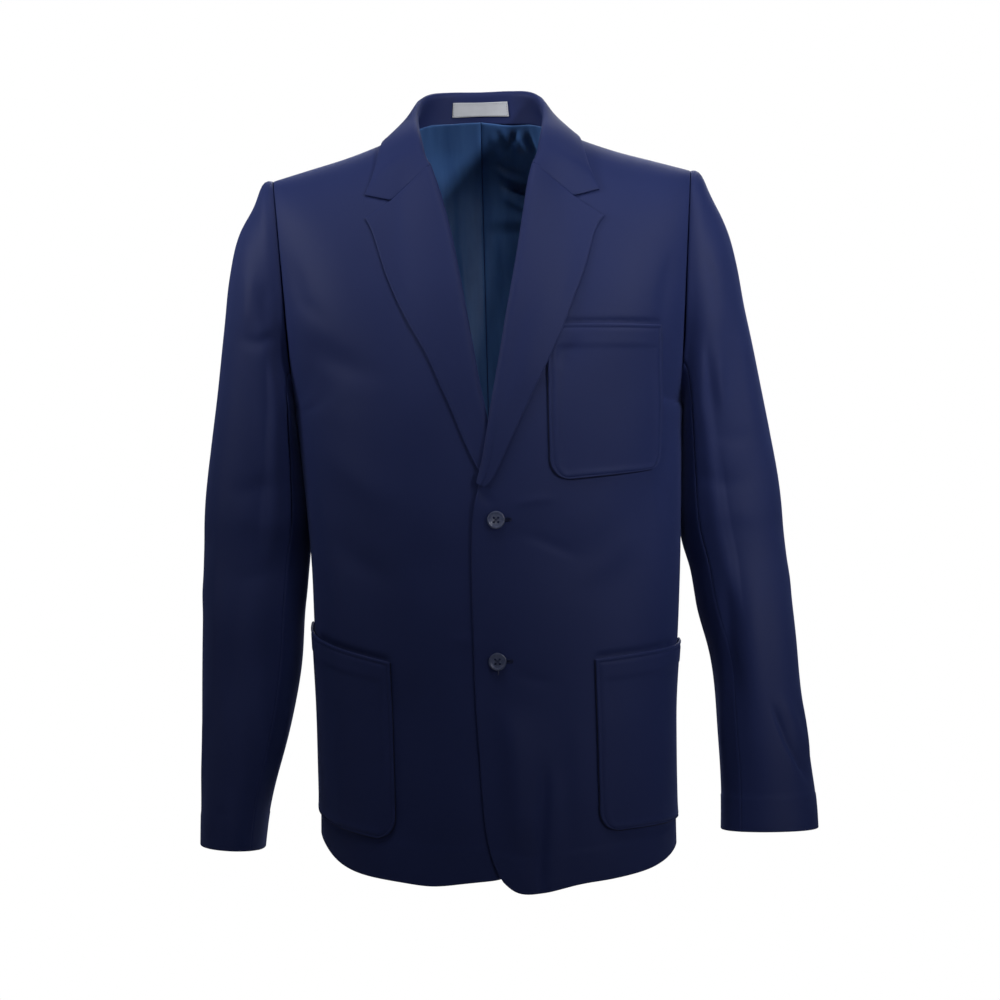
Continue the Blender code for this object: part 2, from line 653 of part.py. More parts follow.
def back_top(col, side):
    """Girth from centre back and height of the back's top edge: neckline, then shoulder seam."""
    share = BACK_COLUMNS[col]
    neck_share = BACK_COLUMNS[NECKLINE_COLUMN]
    if share <= neck_share:
        return neckline_point(share / neck_share, side)
    x = mix(NECK_POINT_X, SHOULDER_TIP_X, (share - neck_share) / (1 - neck_share))
    return x, SHOULDER_Z(x)


def back_grid(side):

    def place(row, col):
        share = BACK_COLUMNS[col]
        outer_girth, outer_z, exact = outer_edge(row, side, back=True)
        side_row = row < len(SIDE_ROW_HEIGHTS[side])
        centre_z = CENTRE_BACK_HEIGHTS[row]
        full, _, _ = section(centre_z, side)
        gap = SEAM_GAP / 2 if side_row else 0.0
        girth = mix(full[-1] - SEAM_GAP / 2, outer_girth + gap, share)
        z = mix(centre_z, outer_z, share)
        if row < HEM_FADE_ROWS:
            fade = (1 - row / HEM_FADE_ROWS) ** 1.5
            z -= fade * BACK_HEM_SAG * math.sin(math.pi * share)
        follow = shoulder_follow(row)
        top_x, top_z = back_top(col, side)
        if row == TOP_ROW and col >= NECKLINE_COLUMN:
            return shoulder_place(top_x, side, SEAM_GAP / 2)
        top_girth = girth_at(top_x, top_z, side, back=True)
        start_x, start_z = back_top(0, side)
        start_girth, end_girth = girth_at(start_x, start_z, side, back=True), outer_edge(TOP_ROW, side, True)[0]
        girth += follow * (top_girth - mix(start_girth, end_girth, share))
        z += follow * (top_z - mix(start_z, ARMHOLE_TOP[1], share))
        point, out = back_place(girth, z, side)
        if exact is not None:
            there, _ = back_place(outer_girth, outer_z, side)
            point = point + (exact - there) * armhole_pull(share)
        return point, out

    return places(ROW_COUNT, len(BACK_COLUMNS), place)


def lining_grid(points, outs):
    """The back's own places, with the free edges drawn in and the foot lifted off the hem."""
    drawn = []
    for grid in (points, outs):
        grid = grid.copy()
        grid[-1] = mix(grid[-1], grid[-2], LINING_BELOW_NECK)
        grid[:, -1] = mix(grid[:, -1], grid[:, -2], LINING_FROM_SIDE)
        grid[:, 0] = mix(grid[:, 0], grid[:, 1], LINING_FROM_CENTRE)
        grid[1] = mix(grid[1], grid[2], LINING_ABOVE_HEM)
        drawn.append(grid[1:])
    points, outs = drawn
    return points - outs * (PANEL_WALL / 2 + LAYER_GAP + LINING_WALL / 2), outs


def build_body():
    for side, letter in ((LEFT, "l"), (RIGHT, "r")):
        add_wall(f"front_{letter}", *front_grid(side), PANEL_WALL, NAVY)
        back = back_grid(side)
        add_wall(f"back_{letter}", *back, PANEL_WALL, NAVY)
        add_wall(f"lining_back_{letter}", *lining_grid(*back), LINING_WALL, LINING_BLUE, 0.35, 0.0)


# --- Sleeves -----------------------------------------------------------------------------------


def sleeve_place(side, ring, angle):
    """A point of a sleeve at a fractional ring, with its creases."""
    table = SLEEVE[side]
    values = [SLEEVE_CURVES[side][name](ring) for name in Ring._fields]
    bow = ARMHOLE_BOW * (1 - smoothstep(0, 2.5, ring))
    point = ring_point(*values, angle, bow)
    centre = ring_point(*values, 0) / 2 + ring_point(*values, 180) / 2
    moved = 0.0
    for crease in CREASES[side]:
        turn = (angle - crease.angle + 180) % 360 - 180
        where = ring - crease.ring - crease.slant / 100 * turn / crease.angle_spread * 4
        moved += crease.proud * math.exp(-(where / crease.ring_spread) ** 2 - (turn / crease.angle_spread) ** 2)
    clear = smoothstep(0.5, 2.5, ring) * (1 - smoothstep(len(table) - 2.2, len(table) - 1, ring) * 0.7)
    return (point + unit(point - centre) * moved * clear) * (side, 1, 1)


SLEEVE_CURVES = {
    side: {name: Curve(range(len(table)), column(table, name)) for name in Ring._fields}
    for side, table in SLEEVE.items()
}


def sleeve_grid(side, first_angle, last_angle, columns):
    rings = len(SLEEVE[side])

    def place(row, col):
        angle = mix(first_angle, last_angle, col / (columns - 1))
        point = sleeve_place(side, row, angle)
        low, high = max(row - 0.1, 0), min(row + 0.1, rings - 1)
        down = sleeve_place(side, high, angle) - sleeve_place(side, low, angle)
        turn = sleeve_place(side, row, angle + 1) - sleeve_place(side, row, angle - 1)
        return point, unit(np.cross(turn, down)) * side

    return places(rings, columns, place)


def build_sleeves():
    half_gap = math.degrees(SEAM_GAP / 2 / ARMHOLE_DEPTH)
    for side, letter in ((LEFT, "l"), (RIGHT, "r")):
        top = sleeve_grid(side, BACK_SLEEVE_SEAM + half_gap, FRONT_SLEEVE_SEAM - half_gap, TOP_SLEEVE_COLUMNS)
        under = sleeve_grid(side, FRONT_SLEEVE_SEAM + half_gap, 360 + BACK_SLEEVE_SEAM - half_gap,
                            UNDER_SLEEVE_COLUMNS)
        add_wall(f"sleeve_top_{letter}", *top, PANEL_WALL, NAVY)
        add_wall(f"sleeve_under_{letter}", *under, PANEL_WALL, NAVY)


# --- Lapels and collar -------------------------------------------------------------------------


def gorge_place(start, tip, step, seam_shift):
    """A place in x and z on the gorge seam and beyond its notch, at a step of the spread."""
    lean = unit(np.subtract(NOTCH, start))
    across_seam = np.array([-lean[1], lean[0]]) * seam_shift
    corner = np.add(NOTCH, across_seam)
    if step <= NOTCH_COLUMN:
        return mix(np.add(start, across_seam), corner, (step + 1) / (NOTCH_COLUMN + 1))
    left = len(LAPEL_SPREAD) - 1 - NOTCH_COLUMN
    return mix(corner, np.asarray(tip, float), (step - NOTCH_COLUMN) / left)


def pocket_lift(z, share):
    """How far the left lapel rises where it lies on the chest pocket."""
    high, top, foot, low = POCKET_LIFT_Z
    return POCKET_LIFT * smoothstep(high, top, z) * smoothstep(low, foot, z) * smoothstep(0.15, 0.58, share)


def lapel_grid(side):
    rolled = len(ROLL_PROFILE)
    roll, edge = LAPEL_ROLL[side], LAPEL_EDGE[side]

    def place(row, col):
        start, end = np.array(roll[row], float), np.array(edge[row], float)
        toward_opening = unit(start - end)
        narrow = min(1.0, float(np.linalg.norm(end - start)) / 14)
        if col < rolled:
            past, off = ROLL_PROFILE[col]
            x, z = start + toward_opening * (past if past > 0 else past * narrow)
        else:
            step = col - rolled
            share = LAPEL_SPREAD[step]
            first = start + toward_opening * ROLL_PROFILE[-1].past * narrow
            if row == 0:
                x, z = gorge_place(first, end, step, -SEAM_GAP / 2)
            else:
                x, z = mix(first, end, share)
            off = mix(LAPEL_OFF_ROLL, LAPEL_OFF_EDGE, share)
            if side == LEFT:
                off += pocket_lift(z, share)
        point, out = front_at(x, z, side)
        return point + out * off, out

    points, _ = places(len(roll), rolled + len(LAPEL_SPREAD), place)
    return points, grid_outs(points, (0, -1, 0))


def neckline_place(where, side):
    """A panel's edge round the neck: 0 centre back, 1 neck point, 2 gorge; and the way out of it."""
    if where <= 1:
        x, z = neckline_point(where, side)
        return back_place(girth_at(x, z, side, back=True), z, side)
    rows = range(GORGE_ROW, TOP_ROW + 1)
    row = TOP_ROW - (where - 1) * (TOP_ROW - GORGE_ROW)
    x = Curve(rows, [FRONT_EDGE[side][i].x for i in rows])(row)
    z = Curve(rows, [FRONT_EDGE[side][i].z for i in rows])(row)
    return front_at(x, min(z, SHOULDER_Z(x)), side)


def form_height(x, y, side):
    """The height of the form's shoulder above a place in plan."""
    z = 0.0
    for _ in range(5):
        depth = -FRONT_DEPTH(z) if y < RIDGE_Y(x) else BACK_DEPTH(z)
        level = depth * (1 - (x / HALF_WIDTH[side](z)) ** SQUARENESS) ** (1 / SQUARENESS)
        reach = min((y - RIDGE_Y(x)) / (level - RIDGE_Y(x)), 1.0)
        z = SHOULDER_Z(x) - rounding(x, y) * (1 - math.sqrt(1 - reach * reach))
    return z


def form_reach(point, side):
    """1 on the form's surface, more outside it, above the level where the shoulder rounds off."""
    x, y, z = side * point[0], point[1], point[2]
    ridge, radius = RIDGE_Y(x), rounding(x, y)
    depth = -FRONT_DEPTH(z) if y < ridge else BACK_DEPTH(z)
    level = depth * (1 - (max(x, 0) / HALF_WIDTH[side](z)) ** SQUARENESS) ** (1 / SQUARENESS) - ridge
    return math.hypot((y - ridge) / level, max((z - SHOULDER_Z(x) + radius) / radius, 0.0))


def lifted_clear(point, clearance):
    """The point, moved out where it is nearer than this to the form."""
    side = LEFT if point[0] >= 0 else RIGHT
    for _ in range(2):
        slope = np.array([form_reach(point + step, side) - form_reach(point - step, side) for step in np.eye(3)]) / 2
        steepness = np.linalg.norm(slope)
        distance = (form_reach(point, side) - 1) / steepness
        point = point + slope / steepness * max(clearance - distance, 0.0)
    return point


def collar_section(station, side):
    """The collar's section at a station, from the stand's seam over the fold to the free edge."""
    base, out = neckline_place(station.neckline, side)
    ahead, _ = neckline_place(min(station.neckline + 0.03, 2), side)
    behind, _ = neckline_place(max(station.neckline - 0.03, 0), side)
    to_hole = unit(np.cross(ahead - behind, out))
    if to_hole @ (np.array([0, -10, base[2]]) - base) < 0:
        to_hole = -to_hole
    seam = base + to_hole * STAND_TO_HOLE
    fold = np.array([side * station.fold_x, station.fold_y, station.fold_z])
    edge_z = form_height(station.edge_x, station.edge_y, side)
    edge = lifted_clear(np.array([side * station.edge_x, station.edge_y, edge_z]), COLLAR_CLEARANCE)
    up = unit(fold - (seam + edge) / 2)
    away = unit(out - up * (out @ up))
    radius = station.fold_radius
    middle = fold - up * radius
    turned = [middle + radius * (math.sin(turn) * away + math.cos(turn) * up)
              for turn in np.radians((-90, -45, 0, 45, 90))]
    falls = [mix(turned[-1], edge, share) + away * FALL_BULGE * 4 * share * (1 - share) for share in COLLAR_FALL]
    return [seam, mix(seam, turned[0], 0.5), *turned, *falls]


def collar_end(side):
    """The collar's last section, on the gorge seam and the notch."""
    start = np.array(LAPEL_ROLL[side][0], float)
    toward_opening = unit(start - NOTCH)
    across_seam = np.array([toward_opening[1], -toward_opening[0]]) * SEAM_GAP
    found = []
    for past, off in GORGE_PROFILE:
        point, out = front_at(*(start + across_seam + toward_opening * past), side)
        found.append(point + out * off)
    first = start + toward_opening * GORGE_PROFILE[-1].past
    for step, share in enumerate(COLLAR_FALL):
        point, out = front_at(*gorge_place(first, COLLAR_TIP, step, SEAM_GAP / 2), side)
        found.append(point + out * mix(GORGE_PROFILE[-1].off, COLLAR_CLEARANCE, share))
    return found


def collar_lines():
    """A smooth line round the collar for each column and axis, from the right gorge to the left."""
    right = [collar_section(station, RIGHT) for station in COLLAR[1:]] + [collar_end(RIGHT)]
    left = [collar_section(station, LEFT) for station in COLLAR] + [collar_end(LEFT)]
    stations = np.array(right[::-1] + left)
    at = np.arange(-len(COLLAR), len(COLLAR) + 1)
    return [[Curve(at, stations[:, col, axis]) for axis in range(3)] for col in range(stations.shape[1])]


def collar_points(lines, where, first_col=0, last_col=None):
    return np.array([[[axis(at) for axis in line] for line in lines[first_col:last_col]] for at in where])


def build_collar():
    lines = collar_lines()
    where = np.linspace(-len(COLLAR), len(COLLAR), 2 * COLLAR_ROWS_PER_STATION * len(COLLAR) + 1)
    points = collar_points(lines, where)
    first_fall = len(GORGE_PROFILE)
    for row in points[1:-1]:
        for col in range(first_fall, len(row)):
            row[col] = lifted_clear(row[col], COLLAR_CLEARANCE)
    outs = grid_outs(points, (0, 1, 0))
    middle = len(where) // 2
    if outs[middle, 0, 1] > 0 and outs[middle, -1, 1] < 0:
        outs = -outs
    add_wall("collar", points, outs, COLLAR_WALL, NAVY)

    reach = next(at for at in np.linspace(0, 3, 301) if lines[1][0](at) > LABEL_WIDTH / 2)
    stand = collar_points(lines, np.linspace(-reach, reach, 9), 0, 3)
    foot, mouth = LABEL_SPAN
    ends = [mix(stand[:, 0], stand[:, 2], share) for share in np.linspace(foot, mouth, 3)]
    label = np.stack(ends, axis=1)
    inward = grid_outs(label, (0, -1, 0))
    label = label + inward * (COLLAR_WALL / 2 + LAYER_GAP + LABEL_WALL / 2)
    add_wall("label", label, inward, LABEL_WALL, LABEL_GREY, 0.6, 0.0)


def build_lapels():
    for side, letter in ((LEFT, "l"), (RIGHT, "r")):
        add_wall(f"lapel_{letter}", *lapel_grid(side), LAPEL_WALL, NAVY)


# --- Patch pockets and buttons -----------------------------------------------------------------

POCKET_ROWS = (0, 0.04, 0.2, 0.38, 0.56, 0.72, 0.84, 0.905, 0.95, 0.98, 1)
POCKET_COLUMNS = 11
POCKET_GAP = 0.75
POCKET_MOUTH_EASE = 1.0


def pocket_grid(side, inner_x, outer_girth, top, foot, corner):
    """A patch on a front, between an inner edge and a girth, with its two lower corners rounded."""

    def place(row, col):
        down, across = POCKET_ROWS[row], col / (POCKET_COLUMNS - 1)
        z = mix(mix(*top, across), mix(*foot, across), down)
        above_foot = z - mix(*foot, across)
        inset = corner - math.sqrt(max(0.0, corner ** 2 - max(corner - above_foot, 0.0) ** 2))
        girth = mix(girth_at(inner_x, z, side) + inset, outer_girth(z) - inset, across)
        point, out = front_place(girth, z, side)
        ease = POCKET_MOUTH_EASE * (1 - down) ** 6 * math.sin(math.pi * across)
        return point + out * (PANEL_WALL / 2 + POCKET_GAP + POCKET_WALL / 2 + ease), out

    return places(len(POCKET_ROWS), POCKET_COLUMNS, place)


def build_pockets():
    (inner_x, top_in), (outer_x, top_out) = CHEST_POCKET_TOP_LEFT, CHEST_POCKET_TOP_RIGHT
    chest = pocket_grid(LEFT, inner_x, lambda z: girth_at(outer_x, z, LEFT), (top_in, top_out),
                        CHEST_POCKET_FOOT, CHEST_POCKET_CORNER)
    add_wall("pocket_chest", *chest, POCKET_WALL, NAVY)
    for side, letter in ((LEFT, "l"), (RIGHT, "r")):

        def past_side(z, side=side):
            return side_girth(z, side) - LOW_POCKET_PAST_SIDE

        low = pocket_grid(side, LOW_POCKET_INNER_X[side], past_side, LOW_POCKET_TOP[side],
                          LOW_POCKET_FOOT[side], LOW_POCKET_CORNER)
        add_wall(f"pocket_low_{letter}", *low, POCKET_WALL, NAVY)


def button_blank(name):
    """The turned disc, with its axis along Z."""
    radius, half = BUTTON_DIAMETER / 2, BUTTON_THICKNESS / 2
    profile = (
        (0, -half), (radius - 1.0, -half), (radius - 0.2, -half + 0.7), (radius, 0), (radius - 0.3, half - 0.5),
        (radius - 0.9, half), (radius - BUTTON_RIM, half), (radius - BUTTON_RIM - 0.7, half - BUTTON_DISH),
        (0, half - BUTTON_DISH),
    )
    bm = bmesh.new()
    verts = [bm.verts.new((r * MM, 0, h * MM)) for r, h in profile]
    edges = [bm.edges.new(pair) for pair in zip(verts, verts[1:])]
    bmesh.ops.spin(bm, geom=verts + edges, cent=(0, 0, 0), axis=(0, 0, 1), angle=2 * math.pi,
                   steps=BUTTON_SIDES, use_merge=True)
    bmesh.ops.remove_doubles(bm, verts=bm.verts[:], dist=1e-6)
    bmesh.ops.recalc_face_normals(bm, faces=bm.faces[:])
    return add_object(name, bm, BUTTON_NAVY, 0.3)


def hole_cutter(name):
    bm = bmesh.new()
    for turn in range(4):
        angle = math.radians(45 + 90 * turn)
        reach = BUTTON_HOLE_SPACING / math.sqrt(2)
        where = Matrix.Translation(Vector((math.cos(angle), math.sin(angle), 0)) * reach * MM)
        bmesh.ops.create_cone(bm, cap_ends=True, segments=8, radius1=BUTTON_HOLE / 2 * MM,
                              radius2=BUTTON_HOLE / 2 * MM, depth=BUTTON_THICKNESS * 2 * MM, matrix=where)
    cutter = add_object(name, bm, BUTTON_NAVY, 0.5)
    cutter.hide_render = True
    cutter.display_type = "WIRE"
    return cutter


def build_buttons():
    for name, (x, z) in BUTTONS.items():
        point, out = front_at(x, z, LEFT)
        centre = Vector((point + out * (PANEL_WALL / 2 + LAYER_GAP + BUTTON_THICKNESS / 2)) * MM)
        button = button_blank(name)
        cutter = hole_cutter(f"{name}_holes")
        for obj in (button, cutter):
            obj.location = centre
            obj.rotation_mode = "QUATERNION"
            obj.rotation_quaternion = Vector(out).to_track_quat("Z", "Y")
        holes = button.modifiers.new("holes", "BOOLEAN")
        holes.operation = "DIFFERENCE"
        holes.object = cutter


def main():
    for obj in list(bpy.data.objects):
        bpy.data.objects.remove(obj, do_unlink=True)
    build_body()
    build_sleeves()
    build_lapels()
    build_collar()
    build_pockets()
    build_buttons()


main()
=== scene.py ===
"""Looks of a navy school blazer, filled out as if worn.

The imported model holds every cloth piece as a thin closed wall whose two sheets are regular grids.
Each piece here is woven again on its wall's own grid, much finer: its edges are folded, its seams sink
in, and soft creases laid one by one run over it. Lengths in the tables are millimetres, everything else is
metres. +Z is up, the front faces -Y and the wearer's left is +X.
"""

import logging
import math
from collections.abc import Callable, Iterable, Sequence
from dataclasses import dataclass, replace
from enum import Enum
from typing import Any, ClassVar

import bmesh
import bpy
import numpy as np
from mathutils import Matrix, Vector
from mathutils.bvhtree import BVHTree


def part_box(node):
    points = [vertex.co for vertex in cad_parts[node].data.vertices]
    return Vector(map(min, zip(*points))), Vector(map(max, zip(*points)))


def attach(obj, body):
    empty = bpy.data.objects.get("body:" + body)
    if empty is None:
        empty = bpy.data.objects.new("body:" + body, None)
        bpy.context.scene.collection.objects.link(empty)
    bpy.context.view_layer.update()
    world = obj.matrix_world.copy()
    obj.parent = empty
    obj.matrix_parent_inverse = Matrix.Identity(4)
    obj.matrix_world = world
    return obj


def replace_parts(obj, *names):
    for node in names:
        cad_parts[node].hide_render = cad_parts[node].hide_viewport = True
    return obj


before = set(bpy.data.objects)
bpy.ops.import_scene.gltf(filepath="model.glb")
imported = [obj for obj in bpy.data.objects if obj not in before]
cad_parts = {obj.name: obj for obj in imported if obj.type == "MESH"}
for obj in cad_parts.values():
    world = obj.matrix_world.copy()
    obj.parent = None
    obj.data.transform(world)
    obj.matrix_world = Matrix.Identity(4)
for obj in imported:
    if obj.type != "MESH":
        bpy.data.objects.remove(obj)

LOG = logging.getLogger("blazer")
MM = 0.001
MERGED = 1e-6  # corners nearer than this are one, in metres
BODY = "root"
Colour = tuple[float, float, float]
Place = tuple[float, float]
Place3 = tuple[float, float, float]
Line = tuple[np.ndarray, np.ndarray]  # points on a cloth, and the ways out of it there


# --- Shader graphs ----------------------------------------------------------------------------


class Signal:
    """A shader socket that Python's operators turn into Math nodes."""

    def __init__(self, graph: "ShaderGraph", socket: bpy.types.NodeSocket) -> None:
        """Wraps one output socket of a graph."""
        self.graph = graph
        self.socket = socket

    def _math(self, operation: str, first: Any, second: Any = None) -> "Signal":
        """Adds one Math node.

        Args:
            operation: The node's operation.
            first: A signal or a number.
            second: A signal or a number, where the operation takes two.

        Returns:
            The node's result.
        """
        inputs = {0: first} if second is None else {0: first, 1: second}
        return self.graph.node("ShaderNodeMath", {"operation": operation}, inputs).signal(0)

    def __add__(self, other: Any) -> "Signal":
        """Adds a signal or a number."""
        return self._math("ADD", self, other)

    def __radd__(self, other: float) -> "Signal":
        """Adds this signal to a number."""
        return self._math("ADD", other, self)

    def __sub__(self, other: Any) -> "Signal":
        """Takes a signal or a number away."""
        return self._math("SUBTRACT", self, other)

    def __rsub__(self, other: float) -> "Signal":
        """Takes this signal away from a number."""
        return self._math("SUBTRACT", other, self)

    def __mul__(self, other: Any) -> "Signal":
        """Multiplies by a signal or a number."""
        return self._math("MULTIPLY", self, other)

    def __rmul__(self, other: float) -> "Signal":
        """Multiplies a number by this signal."""
        return self._math("MULTIPLY", other, self)

    def sine(self) -> "Signal":
        """Returns the sine of this signal."""
        return self._math("SINE", self)


class NodeHandle:
    """A shader node together with the graph that it stands in."""

    def __init__(self, graph: "ShaderGraph", node: bpy.types.Node) -> None:
        """Keeps the node and its graph."""
        self.graph = graph
        self.node = node

    def signal(self, output: int | str = 0) -> Signal:
        """Returns one of the node's outputs as a signal."""
        return Signal(self.graph, self.node.outputs[output])


class ShaderGraph:
    """A material's node tree round one Principled shader."""

    def __init__(self, name: str) -> None:
        """Starts a material of this name.

        Args:
            name: The material's name.
        """
        self.material = bpy.data.materials.new(name)
        self.material.use_nodes = True
        self.tree = self.material.node_tree
        self.shader = self.tree.nodes["Principled BSDF"]

    def node(self, kind: str, settings: dict[str, Any] | None = None,
             inputs: dict[int | str, Any] | None = None) -> NodeHandle:
        """Adds a node.

        Args:
            kind: The node's type.
            settings: Its own settings, and a colour ramp's stops under "stops".
            inputs: Values or signals for its sockets, by index or name.

        Returns:
            The node with its graph.
        """
        made = self.tree.nodes.new(kind)
        for key, value in (settings or {}).items():
            if key == "stops":
                self._set_stops(made.color_ramp, value)
            else:
                setattr(made, key, value)
        for key, value in (inputs or {}).items():
            self._feed(made.inputs[key], value)
        return NodeHandle(self, made)

    def _feed(self, socket: bpy.types.NodeSocket, value: Any) -> None:
        """Links a signal to a socket, or sets a plain value on it.

        Args:
            socket: The socket that is fed.
            value: A signal, or a value of its own kind.
        """
        if isinstance(value, Signal):
            self.tree.links.new(value.socket, socket)
        else:
            socket.default_value = value

    @staticmethod
    def _set_stops(ramp: bpy.types.ColorRamp, stops: Sequence[tuple[float, Colour]]) -> None:
        """Puts a ramp's stops in place of its own two.

        Args:
            ramp: The colour ramp.
            stops: Positions with their colours, rising.
        """
        while len(ramp.elements) > 1:
            ramp.elements.remove(ramp.elements[-1])
        ramp.elements[0].position, ramp.elements[0].color = stops[0][0], (*stops[0][1], 1)
        for position, colour in stops[1:]:
            ramp.elements.new(position).color = (*colour, 1)

    def shade(self, **sockets: Any) -> None:
        """Feeds the Principled shader's sockets, named with underscores for spaces."""
        for name, value in sockets.items():
            self._feed(self.shader.inputs[name.replace("_", " ")], value)

    def blended(self, share: Signal, first: Colour, second: Colour) -> Signal:
        """Mixes two colours by a signal.

        Args:
            share: 0 gives the first colour and 1 the second.
            first: A colour.
            second: A colour.

        Returns:
            The mixed colour.
        """
        mixer = self.node("ShaderNodeMix", {"data_type": "RGBA"},
                          {0: share, 6: (*first, 1), 7: (*second, 1)})
        return mixer.signal(2)

    def raised(self, height: Signal, strength: float, distance: float) -> Signal:
        """Returns a normal bumped by a height signal."""
        return self.node("ShaderNodeBump", {}, {"Strength": strength, "Distance": distance,
                                                "Height": height}).signal(0)

    def along_cloth(self) -> NodeHandle:
        """Returns the cloth's own map, in metres, split into its two directions."""
        place = self.node("ShaderNodeUVMap", {"uv_map": Weave.UV_NAME}).signal(0)
        return self.node("ShaderNodeSeparateXYZ", {}, {0: place})

    def cloud(self, scale: float, detail: float, source: Signal, distortion: float = 0.0) -> Signal:
        """Returns soft noise over a coordinate signal.

        Args:
            scale: Lumps in a metre.
            detail: Octaves.
            source: The coordinate.
            distortion: How far the lumps are dragged about.

        Returns:
            Noise round a half.
        """
        return self.node("ShaderNodeTexNoise", {}, {"Vector": source, "Scale": scale, "Detail": detail,
                                                   "Roughness": 0.55, "Distortion": distortion}).signal(0)

    def solid_place(self) -> Signal:
        """Returns the place on the object, in metres."""
        return self.node("ShaderNodeTexCoord").signal("Object")


class Finish:
    """What every finish has: a material made once and shared."""

    def material(self) -> bpy.types.Material:
        """Returns the finish's material, made the first time."""
        return bpy.data.materials.get(self.name) or self.mixed()


@dataclass(frozen=True)
class Suiting(Finish):
    """Navy polyester and wool twill with a low, soft sheen."""

    name: str = "navy_suiting"
    deep: Colour = (0.0129, 0.0215, 0.0920)
    light: Colour = (0.0175, 0.0280, 0.1135)
    twill_pitch: float = 0.9 * MM
    yarn_pitch: float = 0.45 * MM
    sheen_tint: Colour = (0.28, 0.36, 0.85)

    def mixed(self) -> bpy.types.Material:
        """Mixes the twill from diagonal ribs, uneven yarns and slow clouds of shade.

        Returns:
            The material.
        """
        graph = ShaderGraph(self.name)
        cloth = graph.along_cloth()
        across, along = cloth.signal("X"), cloth.signal("Y")
        turn = 2 * math.pi
        ribs = ((across + along) * (turn / self.twill_pitch)).sine()
        yarns = ((across - along) * (turn / self.yarn_pitch)).sine()
        where = graph.solid_place()
        slubs = graph.cloud(900, 2, where)
        clouds = graph.cloud(14, 3, where)
        weave = ribs * 0.5 + yarns * 0.22 + slubs * 0.5
        graph.shade(
            Base_Color=graph.blended(clouds * 0.7 + weave * 0.10 + 0.1, self.deep, self.light),
            Roughness=0.56 + clouds * 0.10 - ribs * 0.03,
            Normal=graph.raised(weave, 0.22, 0.12 * MM),
            Sheen_Weight=0.28,
            Sheen_Roughness=0.45,
            Sheen_Tint=(*self.sheen_tint, 1),
            Specular_IOR_Level=0.2,
        )
        return graph.material


@dataclass(frozen=True)
class Satin(Finish):
    """Teal-navy satin of the back lining, finely ribbed along its length."""

    name: str = "lining_satin"
    deep: Colour = (0.0290, 0.0840, 0.2500)
    light: Colour = (0.0850, 0.1950, 0.4700)
    rib_pitch: float = 0.6 * MM

    def mixed(self) -> bpy.types.Material:
        """Mixes the satin from slow streaks down the cloth and a fine rib.

        Returns:
            The material.
        """
        graph = ShaderGraph(self.name)
        cloth = graph.along_cloth()
        across, along = cloth.signal("X"), cloth.signal("Y")
        streaked = graph.node("ShaderNodeCombineXYZ", {}, {0: across * 60.0, 1: along * 9.0})
        streaks = graph.cloud(1.0, 3, streaked.signal(0))
        rib = (across * (2 * math.pi / self.rib_pitch)).sine()
        graph.shade(
            Base_Color=graph.blended(streaks * 1.3 - 0.15, self.deep, self.light),
            Roughness=0.30 + streaks * 0.16,
            Normal=graph.raised(rib * 0.4 + streaks, 0.15, 0.08 * MM),
            Specular_IOR_Level=0.25,
            Sheen_Weight=0.15,
            Sheen_Roughness=0.3,
            Sheen_Tint=(0.3, 0.55, 0.9, 1),
        )
        return graph.material


@dataclass(frozen=True)
class LabelTape(Finish):
    """Pale damask tape of the bare neck label."""

    name: str = "label_tape"
    ground: Colour = (0.50, 0.52, 0.57)
    lit: Colour = (0.66, 0.68, 0.73)
    rib_pitch: float = 0.5 * MM

    def mixed(self) -> bpy.types.Material:
        """Mixes the tape from fine ribs across it and faint uneven shade.

        Returns:
            The material.
        """
        graph = ShaderGraph(self.name)
        cloth = graph.along_cloth()
        rib = (cloth.signal("Y") * (2 * math.pi / self.rib_pitch)).sine()
        shade = graph.cloud(120, 2, graph.solid_place())
        graph.shade(
            Base_Color=graph.blended(shade * 0.8 + rib * 0.12 + 0.1, self.ground, self.lit),
            Roughness=0.5 + shade * 0.15,
            Normal=graph.raised(rib, 0.25, 0.08 * MM),
            Sheen_Weight=0.1,
        )
        return graph.material


@dataclass(frozen=True)
class Resin(Finish):
    """Slate-navy button resin with pale drifts in it."""

    name: str = "button_resin"
    dark: Colour = (0.042, 0.054, 0.115)
    pale: Colour = (0.120, 0.145, 0.260)

    def mixed(self) -> bpy.types.Material:
        """Mixes the resin from drifting bands, glossier where it is worn.

        Returns:
            The material.
        """
        graph = ShaderGraph(self.name)
        where = graph.solid_place()
        drift = graph.cloud(260, 4, where, 1.4)
        rubbed = graph.cloud(900, 2, where)
        graph.shade(
            Base_Color=graph.blended(drift * 1.6 - 0.35, self.dark, self.pale),
            Roughness=0.24 + rubbed * 0.18,
            Normal=graph.raised(rubbed, 0.05, 0.05 * MM),
            Specular_IOR_Level=0.5,
            Coat_Weight=0.15,
        )
        return graph.material


@dataclass(frozen=True)
class Thread(Finish):
    """Sewing thread, in a given shade."""

    name: str = "navy_thread"
    dark: Colour = (0.006, 0.010, 0.040)
    light: Colour = (0.014, 0.022, 0.078)
    ply_pitch: float = 0.5 * MM

    def mixed(self) -> bpy.types.Material:
        """Mixes the thread from its twisted plies.

        Returns:
            The material.
        """
        graph = ShaderGraph(self.name)
        where = graph.node("ShaderNodeSeparateXYZ", {}, {0: graph.solid_place()})
        plies = ((where.signal("X") + where.signal("Z")) * (2 * math.pi / self.ply_pitch)).sine()
        graph.shade(
            Base_Color=graph.blended(plies * 0.4 + 0.5, self.dark, self.light),
            Roughness=0.55 + plies * 0.08,
            Normal=graph.raised(plies, 0.3, 0.05 * MM),
            Specular_IOR_Level=0.2,
            Sheen_Weight=0.1,
            Sheen_Tint=(0.3, 0.4, 0.9, 1),
        )
        return graph.material


